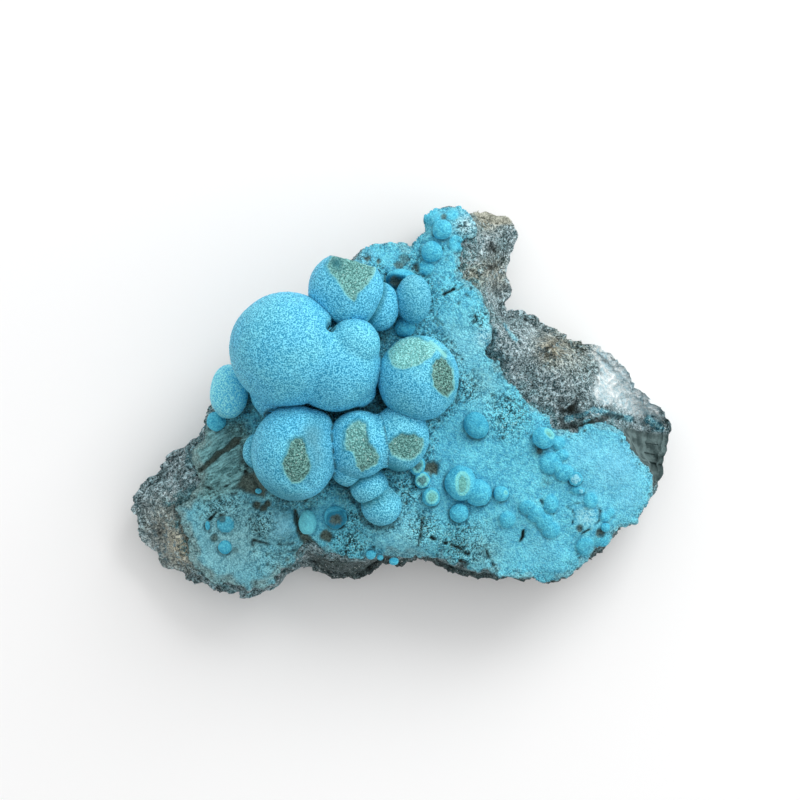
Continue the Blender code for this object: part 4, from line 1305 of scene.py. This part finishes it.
def rock_masks(points):
    """Where the rock is quartz, blue, rusty or tan, where it has painted shade on its broken face at the
    right end and under the crust's lower lip, and where its crevices and pits are darkened.
    """
    plan = points[:, :2]
    waver = value_noise(plan, 2.2, 151)
    masks = empty_masks(len(plan), ("ridge",))
    quartz = inside_distance(plan, QUARTZ_FACE) + 1.6 * waver + 0.8 * value_noise(plan, 0.9, 152)
    masks["quartz"] = np.maximum(smooth_step(quartz, -1.5, 1.8), 0.5 * soft_spot(plan, -56.5, -35.0, 6.5))
    near_crust = fade(-crust_depth(plan) + 1.2 * waver, 0.0, 3.5)
    masks["blue"] = np.clip(0.75 * near_crust + hills(plan, BLUE_SPOTS), 0.0, 1.5)
    for line, width, _ in BLUE_RIDGES:
        away = line_distance(plan, line) + 0.25 * waver
        add_mask(masks, "ridge", fade(away, 0.8 * width, 1.6 * width))
    masks["rust"] = np.clip(hills(plan, RUST_SPOTS), 0.0, 1.0)
    masks["tan"] = smooth_step(2.0 - line_distance(plan, TAN_LIP) + 0.4 * waver, 0.0, 1.0)
    # Painted shade on the rock under the crust's lower lip.
    under_lip_shade = smooth_step(seat(plan) - 1.0 - points[:, 2], 0.0, 2.5) * smooth_step(-plan[:, 1], 28.0, 34.0)
    under_lip_shade *= smooth_step(plan[:, 0], -26.0, -20.0)
    masks["face"] = shaded_face(plan)
    masks["dark"] = np.clip(np.maximum(masks["face"], 0.8 * under_lip_shade), 0.0, 1.0)
    # Darkened crevices and pits.
    masks["crevice_dark_and_shadow"] = 0.7 * smooth_step(1.2 - np.abs(crust_depth(plan)), 0.6, 1.2)
    seam = line_distance(plan, ROCK_SEAM) + 0.3 * value_noise(plan, 1.0, 153)
    add_mask(masks, "crevice_dark_and_shadow", 0.8 * fade(seam, 0.4, 1.0))
    broken = smooth_step(rugged(points, 1.1, 165, 3), -0.7, 0.4)
    for x, y, radius, height in ROCK_RELIEF:
        if height < -1.0:
            pit = soft_spot(plan, x, y, 0.9 * radius) * broken
            add_mask(masks, "crevice_dark_and_shadow", np.minimum(1.1 * pit, 1.0))
    return masks


def build_rock(material):
    plan, quads = plan_sheet(rock_depth, LEDGE, ROCK_STEP)
    points = np.column_stack((plan, rock_surface(plan)))
    edge = np.unique(edge_loop(quads))
    start = points[edge]
    away = -rock_depth.slope(start[:, :2])
    away /= np.linalg.norm(away, axis=1)[:, None] + 1e-9
    rim = start[:, :2] + away * rock_depth(start[:, :2])[:, None]
    low = rim_level(rim)
    rings = []
    for share in np.linspace(0.08, 1.0, EDGE_RINGS):
        across = math.sin(0.5 * math.pi * share)
        spot = start[:, :2] + across * (rim - start[:, :2])
        level = start[:, 2] + (low - start[:, 2]) * (1.0 - math.cos(0.5 * math.pi * share))
        rings.append(np.column_stack((spot, level)))
    for share in np.linspace(0.965, 0.0, FLANK_RINGS):
        width = np.interp(share, FLANK_LEVELS[::-1], FLANK_WIDTHS[::-1])
        chip = np.abs(value_noise(raised(rim, 16.0 * share), 11.0, 11))
        spot = rim * (width * (1.0 - FLANK_CHIPS * chip * smooth_step(1.0 - share, 0.0, 0.3)))[:, None]
        rings.append(np.column_stack((spot, low * share)))
    points, quads = add_rings(points, quads, rings)
    sheet = len(plan)
    relief = rock_relief(points)
    bare = smooth_step(-crust_depth(points[:, :2]), 0.0, 1.2)
    below_seat = seat(points[sheet:, :2]) - points[sheet:, 2]
    bare[sheet:] = np.maximum(bare[sheet:], smooth_step(below_seat, 0.3, 1.5))
    grounded = smooth_step(points[:, 2], 0.0, 2.5)
    flat = points[:, :2] / (np.linalg.norm(points[:, :2], axis=1)[:, None] + 1e-9)
    outward = np.zeros_like(points)
    outward[:, 2] = 1.0
    outward[sheet:, :2] = flat[sheet:]
    outward[sheet:, 2] = 0.15
    lift = (relief - 0.4) * bare * grounded
    points = points + outward * lift[:, None]
    piece = mesh_piece("rock", *capped(points, quads, rock_masks(points)), material)
    place(piece, "matrix", "host_rock")


CRUST_MASKS = (
    "banded", "pale", "rough", "speckle", "stain_and_shadow", "stone", "crevice_dark_and_shadow", "brown", "ball", "white", "green",
    "deep", "even", "greyed",
)


def crust_masks(plan):
    """Where the crust is pale, grey, pitted, stained, stony, cracked, brown or a small ball, and where it
    has painted shade and painted shadow.
    """
    masks = empty_masks(len(plan), CRUST_MASKS)
    masks["banded"] = banded(plan)
    masks["pale"] = np.clip(hills(plan, PALE_SPOTS), 0.0, 1.0)
    masks["even"] = strongest(plan, EVEN)
    masks["greyed"] = strongest(plan, GREYED)
    masks["stain_and_shadow"] = strongest(plan, STAINS_AND_SHADOWS)
    masks["rough"] = np.clip(1.15 * speckles(plan), 0.0, 1.0)
    masks["speckle"] = pore_map(plan)
    waver = 1.6 * value_noise(plan, 2.6, 161) + 0.9 * value_noise(plan, 1.1, 162)
    west = smooth_step(-plan[:, 0], 15.0, 38.0)
    masks["stone"] = fade(crust_depth(plan) + waver, 0.1, 0.6 + 2.4 * west) * (0.45 + 0.55 * west)
    rough_top = fade(soft_spot(plan, -30.2, -29.7, 6.5), 0.3, 0.6)
    masks["ball"] = 0.85 * rough_top * smooth_step(soft_balls(plan), 0.10, 0.6)
    marks = np.clip(crust_marks(plan) * 1.6, 0.0, 1.0)
    gash_edge = 4.0 * gash(plan) * (1.0 - gash(plan))
    # Painted shade round the foot of each small ball, strongest on the side away from the light.
    contact_shade = 0.75 * grooves(plan) * smooth_step(value_noise(plan, 1.4, 92), -0.8, 0.4)
    masks["crevice_dark_and_shadow"] = np.maximum(np.maximum(marks, 0.9 * gash_edge), contact_shade)
    # Painted shadow on the crust beside the low side of the large balls.
    for name in SHADED_BELOW:
        for x, y, _, wide, deep in BALLS[name]["lobes"]:
            away = plan + np.array(SHADE_REACH) - np.array((x, y))
            apart = np.hypot(away[:, 0], away[:, 1]) - 0.5 * (wide + deep)
            add_mask(masks, "crevice_dark_and_shadow", 0.6 * fade(apart, -0.5, 0.7))
    masks["brown"] = np.maximum(gash(plan), brown_patch(plan))
    for radius, _, brown, apart in crust_pits(plan):
        add_mask(masks, "brown", brown * fade(apart, 0.6 * radius, 1.2 * radius))
    return masks


# How each kind of small ball is broken: the way the hole faces, its half angle and its depth.
BROKEN_KINDS = {
    "ringed": ((0.15, 0.0, 1.0), 0.70, 0.12),
    "dotted": ((0.62, 0.15, 0.8), 0.30, 0.10),
    "broken": ((0.05, 0.10, 1.0), 0.95, 0.35),
    "chipped": ((0.75, 0.55, 0.8), 0.50, 0.25),
    "disc": ((0.0, 0.0, 1.0), 0.95, 0.10),
    "holed": ((0.15, -0.35, 1.0), 0.75, 0.85),
    "cup": ((-0.15, -0.50, 0.85), 0.98, 0.70),
}
LENS_TURN = 0.63  # how far the lens-shaped ball is turned in plan
WIDE_RING = 3.5  # larger balls have a narrower opening


def hollow_out(aims, reach, masks, kind, radius, seed):
    """Breaks a small ball open the way of its kind: sets its masks and gives its new reach."""
    facing, cut, depth = BROKEN_KINDS[kind]
    axis = np.array(facing) / np.linalg.norm(facing)
    wide_ring = radius > WIDE_RING and kind != "cup"
    narrow = 1.3 if wide_ring else 1.0
    cut = 0.56 if wide_ring else cut
    seen = aims * np.array((narrow, 1.0 / narrow, 1.0))
    seen /= np.linalg.norm(seen, axis=1)[:, None]
    ragged = {"cup": 0.2, "broken": 0.4}.get(kind, 0.14)
    angle = np.arccos(np.clip(seen @ axis, -1.0, 1.0))
    angle = angle + ragged * value_noise(aims * 1.7 + seed, 1.0, 133)
    bowl = np.clip(1.0 - (angle / cut) ** 4, 0.0, 1.0)
    inside = fade(angle, cut - 0.14, cut + 0.03)
    ring = smooth_step(angle, cut - 0.16, cut - 0.08)
    ring *= fade(angle, cut, cut + 0.10)
    core = fade(angle, cut - 0.18, cut - 0.10)
    if kind == "disc":
        masks["pale"] = 0.5 * core
        masks["ball"] = 0.9 * (1.0 - 0.6 * core)
        masks["crevice_dark_and_shadow"] = 0.9 * ring
    elif kind not in ("holed", "cup"):
        masks["green"] = (0.6 if kind == "broken" else 1.0) * core
        masks["brown"] = (0.7 if kind == "broken" else 0.0) * core
        masks["white"] = (1.0 if kind == "broken" else 0.8) * ring
    else:
        shady = 1.0
        # The cup's dark, brown and darker blue inside lies only on the side away from the light: painted
        # shade in its bowl.
        if kind == "cup":
            shady = smooth_step(-(0.6 * aims[:, 0] + 0.8 * aims[:, 1]), -0.45, 0.30)
            masks["crevice_dark_and_shadow"] = 0.75 * inside * shady
        masks["brown"] = smooth_step(inside, 0.35, 0.75) * shady
        masks["deep"] = 0.9 * fade(angle, cut + 0.1, cut + 0.5) * shady
    return reach * (1.0 - depth * (bowl if depth > 0.5 else inside))


def small_ball(x, y, radius, flat, stretch, kind, seed):
    """Points, quads and masks of one small ball on the crust."""
    aims, quads = sphere_cells(11 if radius < 2.0 else 16)
    centre = np.array((x, y, crust_body(np.array(((x, y),)))[0] + BALL_LIFT * radius))
    lumps = 0.06 * value_noise(aims * 1.6 + seed, 1.0, 131)
    grain = 0.02 * value_noise(aims * radius + seed, 0.6, 132)
    reach = radius * (1.0 + lumps + grain)
    masks = empty_masks(len(aims), CRUST_MASKS)
    masks["ball"] = np.full(len(aims), 0.9)
    if kind in BROKEN_KINDS:
        reach = hollow_out(aims, reach, masks, kind, radius, seed)
    shape = aims * reach[:, None] * np.array((1.0, stretch, 0.25 + 0.75 * flat))
    if kind == "bright":
        masks["white"] = np.full(len(aims), 0.35)
    if kind == "lens":
        x_axis = (math.cos(LENS_TURN), math.sin(LENS_TURN), 0.0)
        y_axis = (-math.sin(LENS_TURN), math.cos(LENS_TURN), 0.0)
        shape = shape @ np.array((x_axis, y_axis, (0.0, 0.0, 1.0)))
        masks["ball"] = np.full(len(aims), 1.0)
        masks["deep"] = np.full(len(aims), 0.22)
    return centre + shape, quads, masks


def build_crust(material):
    plan, quads = plan_sheet(crust_depth, 0.0, CRUST_STEP)
    points = np.column_stack((plan, crust_surface(plan)))
    edge = np.unique(edge_loop(quads))
    start = points[edge]
    inward = crust_depth.slope(start[:, :2])
    inward /= np.linalg.norm(inward, axis=1)[:, None] + 1e-9
    base = seat(start[:, :2])
    rings = []
    for share in (0.3, 0.6, 0.85, 1.0):
        bulge = 0.25 * math.sin(math.pi * share) + 0.12 * value_noise(start * (1.0 + share), 0.9, 141)
        level = start[:, 2] + (base - start[:, 2]) * share
        rings.append(np.column_stack((start[:, :2] - inward * bulge[:, None], level)))
    rings.append(np.column_stack((start[:, :2], base - 0.8)))
    points, quads = add_rings(points, quads, rings)
    body = capped(points, quads, crust_masks(points[:, :2]))
    crust = mesh_piece("crust_layer", *body, material)
    place(crust, "crust", "chrysocolla")
    parts = [small_ball(*spec, seed) for seed, spec in enumerate(SMALL_BALLS) if spec[-1] != "soft"]
    balls = mesh_piece("small_botryoids", *joined_arrays(parts), material)
    place(balls, "crust", "chrysocolla")


def skin_reach(heart, aims, name):
    """How far from its heart a ball's skin is along each aim, found by halving."""
    near = np.zeros(len(aims))
    far = np.full(len(aims), FARTHEST_SKIN)
    for _ in range(HALVINGS):
        middle = 0.5 * (near + far)
        outside = outside_ball(heart + aims * middle[:, None], name) > 0.0
        far = np.where(outside, middle, far)
        near = np.where(outside, near, middle)
    return near


def crease_lobes(points, name, masks):
    """How far a ball's skin sinks in the creases between its lobes, which get painted shade, as does the
    lower lobe beside each crease.
    """
    ball = BALLS[name]
    sunk = np.zeros(len(points))
    groups = []
    for numbers in CREASED.get(name, ()):
        group = {"lobes": [ball["lobes"][number] for number in numbers], "blend": 0.5}
        groups.append(lobes_distance(points, group))
    for first, second in zip(groups, groups[1:]):
        crease = np.exp(-(((first - second) / 0.45) ** 2) - first**2)
        sunk += 0.35 * crease
        shaded = smooth_step(first - second, 0.0, 0.2) * fade(first, 0.2, 1.4)
        add_mask(masks, "painted_shade_and_tone", np.maximum(0.85 * crease, 0.6 * shaded))
    return sunk


def shade_below(points, name, masks):
    """Painted shade on a ball's low side."""
    ball = BALLS[name]
    own = lobes_distance(points, ball)
    facing = np.stack([lobes_distance(points + 0.3 * axis, ball) - own for axis in np.eye(3)], axis=1)
    facing /= np.linalg.norm(facing, axis=1)[:, None]
    under = smooth_step(-(facing @ np.array(LOW_SIDE)), 0.45, 0.90)
    add_mask(masks, "painted_shade_and_tone", SHADED_BELOW[name] * under)


def window_masks(plan, outline, within, opened, upward, tone, masks):
    """Bare druse inside a window, and its pale rim, with a painted highlight on the rim towards the light
    and a ring of painted shade just outside it, strongest on the side away from the light.
    """
    add_mask(masks, "bare", opened)
    add_mask(masks, "tone", opened * tone)
    shine = plan - np.array(outline).mean(axis=0)
    lit = smooth_step(-(shine @ np.array((-0.5, 0.85))), -2.0, 1.0)
    band = smooth_step(within, -0.12, 0.0) * fade(within, 0.0, 0.18) * upward
    shade_ring = smooth_step(within, -0.9, -0.15) * fade(within, -0.1, 0.1) * upward
    add_mask(masks, "pale_rim_and_highlight", band * (0.15 + 0.5 * lit))
    add_mask(masks, "painted_shade_and_tone", 0.55 * shade_ring * (1.0 - 0.6 * lit))


def build_ball(name, material):
    """One large ball with its windows and its sugary skin."""
    ball = BALLS[name]
    heart = np.array(ball["heart"])
    aims, quads = sphere_cells(ball["cells"])
    near = skin_reach(heart, aims, name)
    points = heart + aims * near[:, None]
    plan = points[:, :2]
    _, spare = neighbour_distance(points, name)
    floor_gap = points[:, 2] - crust_body(plan)
    masks = empty_masks(len(aims), ("bare", "tone", "pale_rim_and_highlight", "painted_shade_and_tone", "worn", "seam", "pale"))
    low = fade(points[:, 2] - heart[2], -4.0, 3.0)
    if name in FORWARD:
        low = np.maximum(low, 0.6)
    # Painted shade where the ball meets its neighbours, on its lower part, and next to the crust.
    masks["seam"] = np.maximum(low * fade(spare, 0.1, 0.9), 0.8 * fade(floor_gap, 0.2, 1.5))
    free = smooth_step(spare, 0.0, 1.5) * smooth_step(floor_gap, 0.0, 1.5)
    reach = near + 0.18 * value_noise(points, 4.5, 101) * free
    skin = 0.060 * value_noise(points, 0.62, 102) + 0.03 * value_noise(points, 0.36, 103)
    upward = smooth_step(aims[:, 2], -0.05, 0.12)
    ragged = 0.24 * value_noise(points, 1.5, 104) + 0.14 * value_noise(points, 0.7, 105)
    if name == "lower_left":
        worn = inside_distance(plan, WORN_CRATER) + 1.5 * ragged
        reach = reach - WORN_DEPTH * smooth_step(worn, -0.6, 2.4) * upward
        patch = soft_spot(plan, -20.5, -7.2, 2.6) + 0.5 * soft_spot(plan, -18.5, -12.5, 4.0)
        masks["worn"] = np.clip(patch + 0.35 * smooth_step(worn, 0.0, 1.6), 0.0, 1.0) * upward
    reach = reach - crease_lobes(points, name, masks)
    if name in SHADED_BELOW:
        shade_below(points, name, masks)
    if name == "great":
        x, y, radius, depth = DIMPLE
        dimple = soft_spot(plan, x, y, radius) * upward
        reach = reach - depth * dimple
        # Painted shade in the dimple.
        add_mask(masks, "seam", smooth_step(dimple, 0.1, 0.6))
    # Even tints: a darker tone, and on the left ball painted light.
    for mask, amount in EVEN_TINTS.get(name, ()):
        masks[mask] = np.full(len(aims), amount)
    for facing, apart in ball.get("breaks", ()):
        cut = np.maximum(reach - face_distance(aims, ball, facing, apart), 0.0)
        reach = reach - cut * (aims @ np.array(facing) > 0.2)
        add_mask(masks, "bare", smooth_step(cut, 0.0, 0.3) * (aims[:, 2] > -0.2))
    tilt = grains(points, 0.62, 107)
    for number, (outline, facing, apart) in enumerate(ball.get("windows", ())):
        within = inside_distance(plan, outline) + ragged
        opened = smooth_step(within, -0.12, 0.22) * upward
        cut = np.clip(reach - face_distance(aims, ball, facing, apart), 0.30, 2.4)
        reach = reach - cut * opened + 0.30 * tilt * smooth_step(within, 0.1, 0.5) * upward
        skin = skin * (1.0 - opened)
        tone = WINDOW_TONES.get(name, (0.2,))[number]
        if name == "lower_middle":
            tone = 0.30 + 0.35 * smooth_step(points[:, 1], -14.0, -8.0)
        window_masks(plan, outline, within, opened, upward, tone, masks)
    if name == "right":
        bridge = line_distance(plan, RIM_BRIDGE)
        add_mask(masks, "pale_rim_and_highlight", 0.7 * fade(bridge, 0.2, 0.7))
    # Dark spots: on the top ball, painted shade in a hollow.
    if name in DARK_SPOTS:
        x, y, radius, amount = DARK_SPOTS[name]
        add_mask(masks, "painted_shade_and_tone", amount * soft_spot(plan, x, y, radius) * upward)
    points = heart + aims * (reach + skin)[:, None]
    piece = mesh_piece(f"{name}_ball", points, quads, masks, material)
    place(piece, f"{name}_botryoid", "chrysocolla")


# ---------------------------------------------------------------- floor, light and camera


FLOOR_HALF = 2.0  # half the floor's width, metres
FLOOR_COLOUR = (0.97, 0.97, 0.97, 1.0)


def build_floor():
    data = bpy.data.meshes.new("floor")
    corners = [(x * FLOOR_HALF, y * FLOOR_HALF, 0.0) for x, y in ((-1, -1), (1, -1), (1, 1), (-1, 1))]
    data.from_pydata(corners, [], [(0, 1, 2, 3)])
    material = bpy.data.materials.new("floor")
    material.use_nodes = True
    shader = material.node_tree.nodes["Principled BSDF"]
    shader.inputs["Base Color"].default_value = FLOOR_COLOUR
    shader.inputs["Roughness"].default_value = 0.9
    data.materials.append(material)
    floor = bpy.data.objects.new("floor", data)
    bpy.context.scene.collection.objects.link(floor)


def add_light(name, place_m, size, power):
    """A square light that faces the specimen."""
    data = bpy.data.lights.new(name, "AREA")
    data.shape = "SQUARE"
    data.size = size
    data.energy = power
    light = bpy.data.objects.new(name, data)
    bpy.context.scene.collection.objects.link(light)
    light.location = place_m
    reach = math.hypot(place_m[0], place_m[1])
    tilt = math.atan2(reach, place_m[2] - AIM_LEVEL)
    light.rotation_euler = (tilt, 0.0, math.atan2(place_m[0], -place_m[1]))


KEY_PLACE = (0.36, 0.52, 0.50)  # metres
KEY_SIZE = 0.45
KEY_POWER = 3.2
AIM_LEVEL = 0.025  # height of the spot that the light faces, metres
LIGHT_AIM = (0.55, 0.80, 0.15)  # where most of the light comes from
WORLD_LEVEL = 0.765
WORLD_LEAN = 0.37  # how much brighter the surroundings are on that side


def build_world():
    """Even surroundings, brighter towards the upper right."""
    world = bpy.data.worlds.new("world")
    bpy.context.scene.world = world
    world.use_nodes = True
    tree = world.node_tree
    place = tree.nodes.new("ShaderNodeTexCoord")
    lean = tree.nodes.new("ShaderNodeVectorMath")
    lean.operation = "DOT_PRODUCT"
    lean.inputs[1].default_value = LIGHT_AIM
    level = tree.nodes.new("ShaderNodeMath")
    level.operation = "MULTIPLY_ADD"
    level.inputs[1].default_value = WORLD_LEAN
    level.inputs[2].default_value = WORLD_LEVEL
    tree.links.new(place.outputs["Generated"], lean.inputs[0])
    tree.links.new(lean.outputs["Value"], level.inputs[0])
    background = tree.nodes["Background"]
    background.inputs["Color"].default_value = (1.0, 1.0, 1.0, 1.0)
    tree.links.new(level.outputs[0], background.inputs["Strength"])


def build_lights():
    build_world()
    add_light("key_light", KEY_PLACE, KEY_SIZE, KEY_POWER)
    bpy.context.scene.view_settings.view_transform = "Standard"


SENSOR = 36.0
CAMERA_DISTANCE = 0.600
CAMERA_SHIFT = (-0.0001, 0.0004)
CRUST_LEVEL = 0.026
VIEW_WIDTH = 0.1944  # what the view takes in at the crust's level


def build_camera():
    data = bpy.data.cameras.new("camera")
    data.sensor_width = SENSOR
    data.lens = SENSOR * CAMERA_DISTANCE / VIEW_WIDTH
    data.clip_start = 0.01
    camera = bpy.data.objects.new("camera", data)
    camera.location = (*CAMERA_SHIFT, CRUST_LEVEL + CAMERA_DISTANCE)
    bpy.context.scene.collection.objects.link(camera)
    bpy.context.scene.camera = camera


build_rock(rock_material())
build_crust(crust_material())
skin = ball_material()
for ball_name in BALLS:
    build_ball(ball_name, skin)
build_floor()
build_lights()
build_camera()
